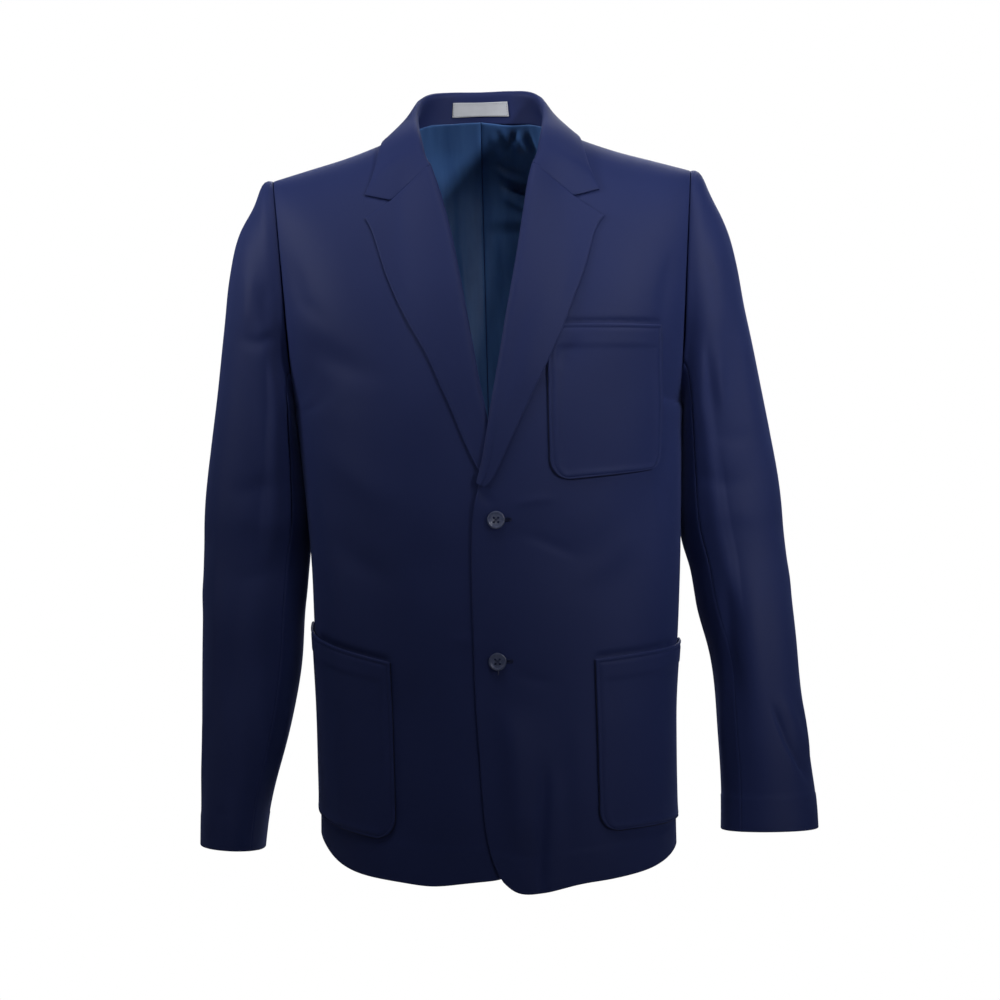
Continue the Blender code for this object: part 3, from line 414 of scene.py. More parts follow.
@dataclass(frozen=True)
class StudioPaper(Finish):
    """Matt white paper of the floor."""

    name: str = "studio_paper"
    white: Colour = (0.93, 0.93, 0.93)
    whiter: Colour = (0.95, 0.95, 0.95)

    def mixed(self) -> bpy.types.Material:
        """Mixes the paper from two near tones in slow clouds.

        Returns:
            The material.
        """
        graph = ShaderGraph(self.name)
        tone = graph.cloud(3, 2, graph.solid_place())
        graph.shade(
            Base_Color=graph.blended(tone, self.white, self.whiter),
            Roughness=0.9,
            Specular_IOR_Level=0.1,
        )
        return graph.material


SUITING = Suiting()
SATIN = Satin()
TAPE = LabelTape()
RESIN = Resin()
NAVY_THREAD = Thread()
# near-black thread of painted shade: the shadow lines round the pockets and the shade inside the buttonhole
# slits
SHADOW_THREAD = Thread("shadow_thread", (0.002, 0.003, 0.014), (0.005, 0.008, 0.030))
EYE_THREAD = Thread("eye_thread", (0.020, 0.026, 0.060), (0.045, 0.056, 0.120))
LOOSE_THREAD = Thread("loose_thread", (0.12, 0.14, 0.20), (0.22, 0.24, 0.32))


# --- Creases ----------------------------------------------------------------------------------


def smooth_ramp(low: float, high: float, values: np.ndarray) -> np.ndarray:
    """Returns 0 below low, 1 above high and a smooth rise between them."""
    t = np.clip((values - low) / (high - low), 0, 1)
    return t * t * (3 - 2 * t)


class Seen(Enum):
    """The way a crease's cloth faces: the two axes of its table, then the facing axis and its sign."""

    FRONT = (0, 2, 1, -1)
    BACK = (0, 2, 1, 1)
    LEFT_SIDE = (1, 2, 0, 1)
    RIGHT_SIDE = (1, 2, 0, -1)


@dataclass(frozen=True)
class Crease:
    """A soft trough or ridge along a line of places, in millimetres.

    Attributes:
        seen: The way its cloth faces.
        path: Places along it, across and up.
        width: How far it spreads to each side.
        proud: Its height, below zero for a trough.
        sharper: How much tighter its right-hand side is, looking along it.
        fade: The share of its length over which each end dies out.
    """

    seen: Seen
    path: tuple[Place, ...]
    width: float
    proud: float
    sharper: float = 1.0
    fade: float = 0.35

    TURNED_TO = (0.05, 0.45)  # from where to where cloth that turns to the crease's side takes it up

    def height(self, points: np.ndarray, outs: np.ndarray) -> np.ndarray:
        """Works out how far the crease moves each point of a sheet.

        Args:
            points: The sheet's points, in metres.
            outs: The ways out of it.

        Returns:
            Distances out, in metres.
        """
        across, up, facing, sign = self.seen.value
        flat = points[..., [across, up]] / MM
        path = np.array(self.path, float)
        lengths = np.hypot(*np.diff(path, axis=0).T)
        starts = np.concatenate([[0], np.cumsum(lengths)])
        nearest = np.full(flat.shape[:-1], np.inf)
        along = np.zeros(flat.shape[:-1])
        hand = np.zeros(flat.shape[:-1])
        for start, end, before, length in zip(path, path[1:], starts, lengths):
            run = (end - start) / length
            rel = flat - start
            t = np.clip(rel @ run, 0, length)
            off = rel - t[..., None] * run
            away = np.hypot(off[..., 0], off[..., 1])
            closer = away < nearest
            nearest = np.where(closer, away, nearest)
            along = np.where(closer, before + t, along)
            hand = np.where(closer, rel[..., 0] * run[1] - rel[..., 1] * run[0], hand)
        width = np.where(hand > 0, self.width / self.sharper, self.width)
        reach = self.fade * starts[-1]
        ends = smooth_ramp(0, reach, along) * smooth_ramp(0, reach, starts[-1] - along)
        turned = smooth_ramp(*self.TURNED_TO, outs[..., facing] * sign)
        return self.proud * MM * np.exp(-((nearest / width) ** 2)) * ends * turned

    def from_inside(self) -> "Crease":
        """Returns a back's crease as the lining that hangs inside it takes it up."""
        return replace(self, seen=Seen.FRONT, proud=-self.proud)


def rows_of_creases(seen: Seen, rows: Iterable[tuple]) -> tuple[Crease, ...]:
    """Makes creases from rows of path, width, proud, sharper and, if it isn't usual, fade."""
    return tuple(Crease(seen, *row) for row in rows)


# Across and up in millimetres, from the wearer's right (below 0) to the wearer's left
FRONT_CREASES = rows_of_creases(Seen.FRONT, (
    # the right-hand front, from the armhole down
    (((-188, -106), (-174, -158), (-142, -190)), 9, -1.3, 1.2, 0.4),
    (((-186, -186), (-147, -214), (-88, -243)), 14, -2.2, 1.2, 0.45),
    (((-177, -276), (-136, -320), (-62, -369)), 16, 1.9, 1.0, 0.4),
    (((-159, -366), (-132, -405), (-82, -436)), 13, -1.8, 1.0, 0.4),
    (((-6, -493), (-22, -483), (-51, -483)), 6, 0.9, 1.2, 0.45),
    (((-84, -500), (-92, -596), (-98, -700)), 20, -3.6, 1.2, 0.3),
    (((-26, -500), (-34, -600), (-42, -706)), 22, 2.4, 1.0, 0.3),
    # the left-hand front
    (((183, -111), (169, -167), (172, -201)), 8, -1.6, 1.2, 0.4),
    (((172, -281), (165, -337), (167, -384)), 9, -1.8, 1.2, 0.4),
    (((90, -200), (74, -214), (64, -232)), 8, -2.0, 1.2, 0.4),
    (((-17, -328), (-7, -346), (5, -361)), 4.5, -1.8, 1.2, 0.35),
    (((16, -359), (40, -353), (68, -352)), 4.5, 0.9, 1.3, 0.4),
    (((18, -381), (51, -393), (93, -413)), 6.5, -1.3, 1.3, 0.45),
    (((146, -374), (112, -411), (68, -438)), 14, 1.7, 1.0, 0.4),
    (((13, -511), (33, -522), (66, -529)), 6, -0.9, 1.2, 0.45),
    (((12, -541), (17, -597), (22, -700)), 15, 5.0, 1.3, 0.3),
    (((46, -590), (41, -655), (36, -740)), 5, -3.4, 1.2, 0.25),
    (((57, -600), (52, -664), (47, -740)), 7, 2.6, 1.2, 0.3),
    (((72, -533), (77, -600), (74, -690)), 11, 1.4, 1.0, 0.4),
))
# Where the pockets' mouths press into the fronts
MOUTH_CREASES = rows_of_creases(Seen.FRONT, (
    (((58, -185.4), (115, -186.0), (172, -187.2)), 2.4, -2.3, 1.2, 0.08),
    (((94, -503.0), (125, -500.2), (151, -497.5), (172, -494.4)), 2.6, -2.2, 1.2, 0.08),
    (((-97, -501.0), (-127, -493.6), (-151, -486.2), (-168, -478.4)), 2.6, -2.2, 1.2, 0.08),
))
BACK_CREASES = rows_of_creases(Seen.BACK, (
    (((-150, -70), (-128, -140), (-120, -210)), 12, 1.9, 1.3, 0.4),
    (((148, -76), (126, -150), (122, -230)), 13, 2.0, 1.0, 0.4),
    (((-190, -250), (-150, -262), (-104, -254)), 9, -1.8, 1.3, 0.4),
    (((-172, -280), (-118, -334), (-48, -357)), 11, 1.9, 1.0, 0.45),
    (((-178, -306), (-120, -358), (-50, -381)), 8, -0.7, 1.3, 0.45),
    (((-168, -332), (-112, -384), (-44, -404)), 13, 1.3, 1.0, 0.45),
    (((186, -236), (150, -252), (110, -246)), 9, -1.7, 1.3, 0.4),
    (((170, -268), (124, -321), (58, -349)), 12, 1.8, 1.0, 0.45),
    (((174, -294), (126, -346), (60, -374)), 8, -0.7, 1.3, 0.45),
    (((164, -322), (118, -374), (52, -400)), 13, 1.2, 1.0, 0.45),
    (((-20, -330), (40, -342), (96, -336)), 9, 1.5, 1.1, 0.45),
    (((-110, -440), (-84, -560), (-88, -680)), 16, 2.2, 1.0, 0.35),
    (((96, -450), (76, -570), (82, -684)), 15, 2.0, 1.0, 0.35),
    (((-30, -470), (-38, -590), (-34, -690)), 13, -1.8, 1.0, 0.4),
    (((-150, -560), (-138, -630), (-142, -700)), 8, -1.8, 1.2, 0.35),
))
RIGHT_SLEEVE_CREASES = rows_of_creases(Seen.FRONT, (
    (((-225, -121), (-227, -151), (-231, -188)), 7, 1.9, 1.0, 0.35),
    (((-193, -184), (-219, -195), (-244, -189)), 7, -1.7, 1.3, 0.45),
    (((-209, -132), (-212, -161), (-209, -185)), 6, -1.2, 1.0, 0.4),
    (((-220, -244), (-213, -292), (-217, -346)), 8, 1.6, 1.0, 0.35),
    (((-262, -325), (-238, -339), (-193, -325)), 11, -1.5, 1.3, 0.45),
    (((-262, -376), (-235, -365), (-194, -382)), 11, 1.1, 1.1, 0.45),
    (((-264, -415), (-236, -422), (-203, -411)), 9, -1.1, 1.2, 0.45),
    (((-241, -404), (-251, -482), (-257, -569)), 9, -2.4, 1.1, 0.3),
    (((-263, -325), (-267, -442), (-267, -559)), 8, 1.9, 1.0, 0.3),
    (((-263, -633), (-270, -662), (-272, -682)), 8, -1.6, 1.0, 0.35),
))
LEFT_SLEEVE_CREASES = rows_of_creases(Seen.FRONT, (
    (((211, -113), (221, -153), (222, -192)), 7, -1.4, 1.2, 0.4),
    (((222, -205), (224, -245), (229, -285)), 5, 1.8, 1.2, 0.4),
    (((212, -200), (214, -245), (219, -290)), 6, -1.6, 1.1, 0.4),
    (((240, -153), (250, -241), (262, -334)), 10, 2.3, 1.0, 0.35),
    (((259, -154), (272, -252), (281, -330)), 8, -1.7, 1.0, 0.35),
    (((206, -287), (236, -300), (264, -295)), 9, -0.8, 1.2, 0.45),
    (((195, -326), (229, -344), (262, -334)), 11, -1.4, 1.3, 0.45),
    (((204, -379), (240, -370), (270, -382)), 11, 1.1, 1.1, 0.45),
    (((229, -416), (227, -494), (233, -558)), 7, -2.7, 1.3, 0.3),
    (((250, -407), (250, -495), (250, -583)), 12, 2.1, 1.0, 0.3),
    (((264, -550), (279, -593), (301, -635)), 4, -3.1, 1.7, 0.25),
    (((275, -542), (291, -586), (303, -613)), 6, 2.0, 1.0, 0.35),
))
SLEEVE_BACK_CREASES = rows_of_creases(Seen.BACK, (
    (((-200, -318), (-236, -334), (-270, -322)), 8, -2.6, 1.3, 0.45),
    (((-206, -362), (-240, -350), (-276, -366)), 8, 2.1, 1.2, 0.45),
    (((-210, -402), (-244, -410), (-278, -398)), 7, -2.3, 1.3, 0.45),
    (((-236, -120), (-240, -190), (-232, -250)), 10, 1.7, 1.0, 0.4),
    (((204, -312), (242, -330), (280, -318)), 8, -2.5, 1.3, 0.45),
    (((208, -358), (246, -348), (284, -364)), 8, 2.2, 1.2, 0.45),
    (((212, -398), (248, -406), (286, -392)), 7, -2.2, 1.3, 0.45),
    (((238, -116), (248, -190), (242, -256)), 10, 1.6, 1.0, 0.4),
    (((-250, -480), (-252, -560), (-256, -650)), 10, -1.6, 1.0, 0.4),
    (((256, -480), (262, -560), (266, -650)), 10, -1.6, 1.0, 0.4),
))
SLEEVE_SIDE_ROWS = (
    (((-10, -60), (-14, -120), (-6, -180)), 10, 1.1, 1.0, 0.4),
    (((36, -250), (20, -300), (28, -350)), 12, -1.3, 1.2, 0.4),
    (((-36, -372), (-10, -388), (22, -380)), 15, -1.1, 1.1, 0.45),
    (((-30, -426), (0, -436), (30, -430)), 16, 0.9, 1.0, 0.45),
    (((-26, -520), (-32, -590), (-40, -650)), 9, 1.7, 1.1, 0.4),
)
SLEEVE_SIDE_CREASES = (rows_of_creases(Seen.LEFT_SIDE, SLEEVE_SIDE_ROWS)
                       + rows_of_creases(Seen.RIGHT_SIDE, SLEEVE_SIDE_ROWS))
# The arms' inner sides rest against the body
INNER_SIDE_CREASES = {
    1: Crease(Seen.RIGHT_SIDE, ((-66, -190), (-62, -320), (-60, -480)), 60, 5.0, 1.0, 0.2),
    -1: Crease(Seen.LEFT_SIDE, ((-66, -200), (-62, -300), (-60, -420)), 60, 8.5, 1.0, 0.28),
}
# The lining's right side faces the front too, between the collar and the lapels
LINING_CREASES = rows_of_creases(Seen.FRONT, (
    # the crushed cloth on the wearer's left of the centre seam, then its folds
    (((31, 46), (33, -10), (32, -84)), 25, 4.4, 1.0, 0.12),
    (((31, -50), (32, -130), (28, -250)), 22, 3.4, 1.0, 0.25),
    (((7, 17), (17, 5), (31, -12)), 2.6, 2.4, 1.5, 0.3),
    (((14, 21), (24, 9), (36, -4)), 2.4, -3.2, 1.3, 0.3),
    (((22, 22), (31, 9), (43, -3)), 2.4, 2.8, 1.5, 0.3),
    (((37, 21), (31, 8), (25, -1)), 2.2, -3.4, 1.3, 0.3),
    (((38, 20), (44, 9), (50, -4)), 2.4, 2.8, 1.4, 0.3),
    (((47, 18), (51, 4), (57, -12)), 2.4, -3.2, 1.3, 0.3),
    (((9, -6), (25, -19), (50, -26)), 3.2, -3.0, 1.4, 0.35),
    (((11, -16), (29, -28), (55, -36)), 3.2, 2.4, 1.5, 0.35),
    (((13, -29), (31, -40), (57, -50)), 3.6, -2.8, 1.4, 0.35),
    (((15, -43), (33, -53), (58, -67)), 4.0, 2.0, 1.3, 0.35),
    (((16, -70), (21, -120), (19, -190)), 5.0, 1.6, 1.2, 0.3),
    (((33, -76), (33, -140), (29, -210)), 5.0, -2.6, 1.3, 0.3),
    # long soft folds on the other side
    (((-30, -6), (-28, -90), (-22, -210)), 14, 3.0, 1.0, 0.3),
    (((-42, -14), (-40, -70), (-34, -140)), 5.0, 2.0, 1.4, 0.3),
    (((-25, -10), (-24, -80), (-18, -170)), 4.5, -1.6, 1.2, 0.3),
))


# --- Cloth on the walls' own grids --------------------------------------------------------------


class Edge(Enum):
    """How an edge of a cloth piece is finished: how far it sinks, runs on and thickens."""

    FOLDED = (0.0, 0.0, 1.0)
    SEAM = (1.0, 1.0, 0.0)
    BUTTED = (0.25, 1.0, 0.0)
    PLAIN = (0.0, 0.0, 0.0)


@dataclass(frozen=True)
class Edges:
    """The four edges of a grid: its first and last row, and its first and last column."""

    first_row: Edge
    last_row: Edge
    first_column: Edge
    last_column: Edge


@dataclass(frozen=True)
class Lay:
    """Which way a cloth piece lies.

    Attributes:
        along: How its rows follow each other.
        across: How its columns follow each other.
        out: The way its right side faces.
        rim_miss: The share by which an edge through its wall may miss the thickness.
    """

    along: Place3
    across: Place3
    out: Place3
    rim_miss: float = 0.003


class WallSheet:
    """The right-side sheet of a packed wall, read back as rows and columns of points."""

    def __init__(self, node: str, wall: float, lay: Lay) -> None:
        """Reads a node.

        Args:
            node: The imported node.
            wall: Its thickness, in millimetres.
            lay: Which way the cloth lies.
        """
        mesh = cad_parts[node].data.copy()
        self.bm = bmesh.new()
        self.bm.from_mesh(mesh)
        bpy.data.meshes.remove(mesh)
        bmesh.ops.remove_doubles(self.bm, verts=self.bm.verts[:], dist=MERGED)
        rim = [face for face in self.bm.faces
               if any(abs(edge.calc_length() / (wall * MM) - 1) < lay.rim_miss for edge in face.edges)]
        bmesh.ops.delete(self.bm, geom=rim, context="FACES")
        out = Vector(lay.out)
        self.faces = set(max(self._islands(), key=lambda faces: self._facing(faces) @ out))
        points = np.array([[vert.co[:] for vert in row] for row in self._walk()])
        self.bm.free()
        self.points = self._turned(points, np.array(lay.along), np.array(lay.across))

    @staticmethod
    def _facing(faces: Iterable[bmesh.types.BMFace]) -> Vector:
        """Returns the sum of the faces' normals, each as long as its area."""
        return sum((face.normal * face.calc_area() for face in faces), Vector())

    def _islands(self) -> list[list[bmesh.types.BMFace]]:
        """Sorts the faces into joined groups.

        Returns:
            The groups, each a list of faces.
        """
        left = set(self.bm.faces)
        groups = []
        while left:
            stack = [left.pop()]
            group = []
            while stack:
                face = stack.pop()
                group.append(face)
                for edge in face.edges:
                    for other in edge.link_faces:
                        if other in left:
                            left.remove(other)
                            stack.append(other)
            groups.append(group)
        return groups

    def _across(self, first: bmesh.types.BMVert, second: bmesh.types.BMVert,
                face: bmesh.types.BMFace) -> bmesh.types.BMFace | None:
        """Returns the sheet's other triangle at the edge between two corners of one."""
        edge = next(edge for edge in first.link_edges if edge.other_vert(first) is second)
        return next((other for other in edge.link_faces if other is not face and other in self.faces), None)

    @staticmethod
    def _third(face: bmesh.types.BMFace, *known: bmesh.types.BMVert) -> bmesh.types.BMVert:
        """Returns the triangle's corner that isn't one of the two known."""
        return next(vert for vert in face.verts if vert not in known)

    def _walk(self) -> list[list[bmesh.types.BMVert]]:
        """Walks over the sheet's triangles, whose diagonals all run the same way.

        Returns:
            Rows of corners.
        """
        corner = next(vert for face in self.faces for vert in face.verts
                      if sum(other in self.faces for other in vert.link_faces) == 1)
        face = next(face for face in corner.link_faces if face in self.faces)
        beside, below = (vert for vert in face.verts if vert is not corner)
        top = [corner, beside]
        rows = []
        while face is not None:
            top, bottom, after = self._strip(face, top[0], top[1])
            rows.append(top)
            face = self._across(bottom[0], bottom[1], after)
            top = bottom
        rows.append(bottom)
        return rows

    def _strip(self, face: bmesh.types.BMFace, first: bmesh.types.BMVert,
               second: bmesh.types.BMVert) -> tuple[list, list, bmesh.types.BMFace]:
        """Walks along one strip of the grid.

        Args:
            face: The strip's first triangle.
            first: The first corner of the strip's upper side.
            second: The next corner of that side.

        Returns:
            The corners of the upper side, those of the lower side, and the strip's second triangle.
        """
        top, bottom = [first, second], [self._third(face, first, second)]
        second_face = None
        while True:
            lower = self._across(top[-1], bottom[-1], face)
            second_face = second_face or lower
            bottom.append(self._third(lower, top[-1], bottom[-1]))
            face = self._across(top[-1], bottom[-1], lower)
            if face is None:
                return top, bottom, second_face
            top.append(self._third(face, top[-1], bottom[-1]))

    @staticmethod
    def _turned(points: np.ndarray, along: np.ndarray, across: np.ndarray) -> np.ndarray:
        """Turns the grid so that rows and columns run the given ways.

        Args:
            points: The grid.
            along: How its rows have to follow each other.
            across: How its columns have to follow each other.

        Returns:
            The turned grid.
        """
        down = points[-1].mean(axis=0) - points[0].mean(axis=0)
        over = points[:, -1].mean(axis=0) - points[:, 0].mean(axis=0)
        if abs(over @ along) > abs(down @ along):
            points = points.transpose(1, 0, 2)
            down, over = over, down
        if down @ along < 0:
            points = points[::-1]
        if over @ across < 0:
            points = points[:, ::-1]
        return points


def spline(at: np.ndarray, values: np.ndarray, where: np.ndarray) -> np.ndarray:
    """Runs a natural cubic spline through points.

    Args:
        at: Where the values stand, rising.
        values: One row for each.
        where: Places to read.

    Returns:
        One row for each place.
    """
    count = len(at)
    if count < 3:
        share = ((where - at[0]) / (at[-1] - at[0])).reshape((-1,) + (1,) * (values.ndim - 1))
        return values[0] + (values[-1] - values[0]) * share
    gap = np.diff(at)
    rows = values.reshape(count, -1)
    system = np.eye(count)
    target = np.zeros_like(rows)
    for i in range(1, count - 1):
        system[i, i - 1: i + 2] = gap[i - 1], 2 * (gap[i - 1] + gap[i]), gap[i]
        target[i] = 6 * ((rows[i + 1] - rows[i]) / gap[i] - (rows[i] - rows[i - 1]) / gap[i - 1])
    bends = np.linalg.solve(system, target)
    i = np.clip(np.searchsorted(at, where, side="right") - 1, 0, count - 2)
    span = gap[i][:, None]
    before, after = (where - at[i])[:, None], (at[i + 1] - where)[:, None]
    found = (bends[i] * after ** 3 + bends[i + 1] * before ** 3) / (6 * span)
    found += ((rows[i] / span - bends[i] * span / 6) * after
              + (rows[i + 1] / span - bends[i + 1] * span / 6) * before)
    return found.reshape((len(where),) + values.shape[1:])


def broken_spline(at: np.ndarray, values: np.ndarray, where: np.ndarray, corner: int) -> np.ndarray:
    """Runs a spline that turns a corner at one of its points.

    Args:
        at: Where the values stand, rising.
        values: One row for each.
        where: Places to read.
        corner: The number of the point with the corner.

    Returns:
        One row for each place.
    """
    found = np.empty((len(where),) + values.shape[1:])
    for low, high in ((0, corner), (corner, len(at) - 1)):
        inside = (where >= at[low]) & (where <= at[high])
        found[inside] = spline(at[low: high + 1], values[low: high + 1], where[inside])
    return found


def mean_places(points: np.ndarray) -> np.ndarray:
    """Returns how far each row of points lies from the first, on average."""
    steps = np.linalg.norm(np.diff(points, axis=0), axis=2).mean(axis=1)
    return np.concatenate([[0], np.cumsum(steps)])


def unit(vectors: np.ndarray) -> np.ndarray:
    """Returns vectors the same ways, each of length 1."""
    return vectors / np.maximum(np.linalg.norm(vectors, axis=-1, keepdims=True), 1e-12)


def outward(points: np.ndarray) -> np.ndarray:
    """Returns unit normals of a grid of points."""
    return unit(np.cross(np.gradient(points, axis=1), np.gradient(points, axis=0)))


def finished(mesh: bpy.types.Mesh, finish: Finish) -> bpy.types.Object:
    """Makes an object of a mesh, with the mesh's name, and lets it ride on the body.

    Args:
        mesh: Its shape, in place.
        finish: Its finish.

    Returns:
        The object.
    """
    mesh.shade_smooth()
    mesh.materials.append(finish.material())
    mesh.update()
    obj = bpy.data.objects.new(mesh.name, mesh)
    bpy.context.scene.collection.objects.link(obj)
    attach(obj, BODY)
    LOG.info("%s: %d faces", obj.name, len(mesh.polygons))
    return obj


@dataclass(frozen=True)
class Weave:
    """How finely a piece is woven again, and how its edges are turned. Lengths are millimetres.

    Attributes:
        step: The usual spacing of its threads here.
        edge_round: How far in from an edge its rounding starts.
        seam_sink: How deep a seam sinks.
        seam_width: How far from the seam that is felt.
        seam_reach: How far a sewn edge runs on to meet its neighbour.
        fold_lift: How much thicker a pressed edge is, from the cloth turned in behind it.
        fold_width: How wide that turning is.
    """

    step: float = 4.0
    edge_round: float = 0.9
    seam_sink: float = 0.9
    seam_width: float = 1.7
    seam_reach: float = 0.32
    fold_lift: float = 0.22
    fold_width: float = 6.0

    UV_NAME = "cloth"
    ROUNDED = (0.12, 0.42, 1.0)  # threads in the rounding, as shares of it
    PAST_ROUNDING = (1.9, 2.8, 3.6, 4.4)
    END_SHARE = 0.4  # the share of a length, from either end, that edge threads may take
    FOLD_SLOPE = 0.8

    def places(self, length: float) -> np.ndarray:
        """Returns the places of the threads over a length, close together near both ends.

        Args:
            length: The length, in metres.

        Returns:
            Rising places from 0 to the length.
        """
        near = [share * self.edge_round * MM for share in self.ROUNDED]
        near += [place * MM for place in self.PAST_ROUNDING]
        near = [place for place in near if place < self.END_SHARE * length]
        count = max(2, round((length - 2 * near[-1]) / (self.step * MM)))
        middle = np.linspace(near[-1], length - near[-1], count + 1)
        for slope in (-self.FOLD_SLOPE, self.FOLD_SLOPE):
            fold = (self.fold_width + slope) * MM
            if near[-1] < fold < self.END_SHARE * length:
                for place in (fold, length - fold):
                    middle[np.abs(middle - place).argmin()] = place
        return np.unique(np.concatenate([[0], near, middle, [length - place for place in near], [length]]))

    def roundness(self, places: np.ndarray) -> np.ndarray:
        """Returns the share of the wall's thickness at each place, none at the two ends."""
        depth = np.minimum(places, places[-1] - places) / (self.edge_round * MM)
        return np.sqrt(np.clip(1 - (1 - np.minimum(depth, 1)) ** 2, 0, 1))


class Cloth:
    """One cloth piece, woven again on its packed wall. Lengths are millimetres."""

    NOTCH_REACH = 9.0
    SEAM_DRAW = 3.0  # how far in from a seam the cloth is drawn to its neighbour
    NEXT_IN = 4  # threads from an edge to the one that gives the way on past it

    def __init__(self, node: str, wall: float, lay: Lay, edges: Edges, weave: Weave,
                 notch_column: int = 0) -> None:
        """Reads the wall and lays fine threads over it.

        Args:
            node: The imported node.
            wall: The cloth's thickness, in millimetres.
            lay: Which way it lies.
            edges: How its edges are finished.
            weave: How finely it is woven.
            notch_column: The column where the outline turns a corner at its row ends, or 0.
        """
        self.node = node
        self.wall = wall * MM
        self.edges = edges
        self.weave = weave
        points = WallSheet(node, wall, lay).points
        row_at, column_at = mean_places(points), mean_places(points.transpose(1, 0, 2))
        self.row_places, self.column_places = weave.places(row_at[-1]), weave.places(column_at[-1])
        rows = spline(row_at, points, self.row_places).transpose(1, 0, 2)
        fine = spline(column_at, rows, self.column_places).transpose(1, 0, 2)
        if notch_column:
            turned = broken_spline(column_at, rows, self.column_places, notch_column).transpose(1, 0, 2)
            near = np.minimum(self.row_places, row_at[-1] - self.row_places) / (self.NOTCH_REACH * MM)
            fine = fine + (turned - fine) * np.exp(-(near ** 2))[:, None, None]
        outs = outward(fine)
        self.flip = 1 if outs.sum(axis=(0, 1)) @ np.array(lay.out) > 0 else -1
        self.points = fine - outs * self.flip * self.wall / 2
        self.plump = np.zeros(self.points.shape[:2])

    def outs(self) -> np.ndarray:
        """Returns the ways out of the cloth's middle."""
        return outward(self.points) * self.flip

    def crease(self, creases: Iterable[Crease]) -> "Cloth":
        """Lays creases in the cloth.

        Args:
            creases: What is laid, one over the other.

        Returns:
            This cloth.
        """
        outs = self.outs()
        moved = sum((crease.height(self.points, outs) for crease in creases), np.zeros(outs.shape[:2]))
        self.points = self.points + outs * moved[..., None]
        return self

    def thicken(self, height: Callable[["Cloth"], np.ndarray]) -> "Cloth":
        """Raises the right side alone by a height worked out from the cloth, in metres."""
        self.plump = self.plump + height(self)
        return self

    def from_edges(self) -> list[tuple[Edge, np.ndarray, np.ndarray]]:
        """Measures the cloth from its four edges.

        Returns:
            Each edge's finish, every point's distance from it, and the way on past it.
        """
        rows, columns = self.row_places[:, None], self.column_places[None, :]
        edges, points = self.edges, self.points
        start, end = [0, self.NEXT_IN], [-1, -1 - self.NEXT_IN]
        found = []
        for finish, distance, pair in (
            (edges.first_row, rows, points[start, None]),
            (edges.last_row, rows[-1] - rows, points[end, None]),
            (edges.first_column, columns, points[:, None, start].transpose(2, 0, 1, 3)),
            (edges.last_column, columns[0, -1] - columns, points[:, None, end].transpose(2, 0, 1, 3)),
        ):
            found.append((finish, np.broadcast_to(distance, points.shape[:2]), unit(pair[0] - pair[1])))
        return found

    def finish_edges(self) -> "Cloth":
        """Sinks and closes the seams, and thickens the pressed edges.

        Returns:
            This cloth.
        """
        weave = self.weave
        outs = self.outs()
        for finish, distance, on in self.from_edges():
            sinks, runs_on, thickens = finish.value
            out = -np.exp(-((distance / (weave.seam_width * MM)) ** 2)) * weave.seam_sink * sinks
            behind = 1 - smooth_ramp(weave.fold_width - weave.FOLD_SLOPE, weave.fold_width + weave.FOLD_SLOPE,
                                     distance / MM)
            self.plump = np.maximum(self.plump, behind * weave.fold_lift * thickens * MM)
            reach = np.clip(1 - distance / (self.SEAM_DRAW * MM), 0, 1) * weave.seam_reach * runs_on
            self.points = self.points + (outs * out[..., None] + on * reach[..., None]) * MM
        return self

    def make(self, name: str, finish: Finish, slot: str, held: str, rests_on: Sequence[str] = ()) -> None:
        """Makes the cloth, two fine sheets that meet in rounded edges.

        Args:
            name: The object's name.
            finish: Its finish.
            slot: The record's material slot; not used.
            held: How it is held; not used.
            rests_on: Nodes that carry it; not used.
        """
        self.finish_edges()
        outs = self.outs()
        round_off = (self.weave.roundness(self.row_places)[:, None]
                     * self.weave.roundness(self.column_places)[None, :])[..., None]
        inner = -outs * self.wall / 2 * round_off
        outer = outs * (self.wall / 2 + self.plump[..., None]) * round_off
        mesh = self._grid_mesh(name)
        places = np.empty(len(mesh.vertices) * 3)
        mesh.vertices.foreach_get("co", places)
        column, row, side = np.rint(places.reshape(-1, 3)).astype(int).T
        spots = self.points[row, column]
        spots[side > 0] += outer[row, column][side > 0]
        spots[side < 0] += inner[row, column][side < 0]
        mesh.vertices.foreach_set("co", spots.ravel())
        self._map_cloth(mesh, np.stack([self.column_places[column], self.row_places[row]], axis=1))
        if self._inside_out(mesh):
            mesh.flip_normals()
        obj = finished(mesh, finish)
        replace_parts(obj, self.node)

    def _grid_mesh(self, name: str) -> bpy.types.Mesh:
        """Joins two flat grids at their rims.

        Args:
            name: The mesh's name.

        Returns:
            The mesh, with column, row and side as its corners' coordinates.
        """
        rows, columns = self.points.shape[:2]
        bm = bmesh.new()
        for side in (1, -1):
            grid = bmesh.ops.create_grid(bm, x_segments=columns - 1, y_segments=rows - 1, size=0.5)
            for vert in grid["verts"]:
                column, row = round((vert.co.x + 0.5) * (columns - 1)), round((vert.co.y + 0.5) * (rows - 1))
                inside = 0 < column < columns - 1 and 0 < row < rows - 1
                vert.co = (column, row, side if inside else 0)
            if side < 0:
                faces = {face for vert in grid["verts"] for face in vert.link_faces}
                bmesh.ops.reverse_faces(bm, faces=list(faces))
        bmesh.ops.remove_doubles(bm, verts=bm.verts[:], dist=0.1)  # corners are 1 apart here
        mesh = bpy.data.meshes.new(name)
        bm.to_mesh(mesh)
        bm.free()
        return mesh

    def _map_cloth(self, mesh: bpy.types.Mesh, places: np.ndarray) -> None:
        """Writes the cloth's own map, in metres.

        Args:
            mesh: The cloth's mesh.
            places: Each corner's place across and along.
        """
        corners = np.empty(len(mesh.loops), np.int32)
        mesh.loops.foreach_get("vertex_index", corners)
        layer = mesh.uv_layers.new(name=Weave.UV_NAME)
        layer.data.foreach_set("uv", places[corners].astype(np.float32).ravel())

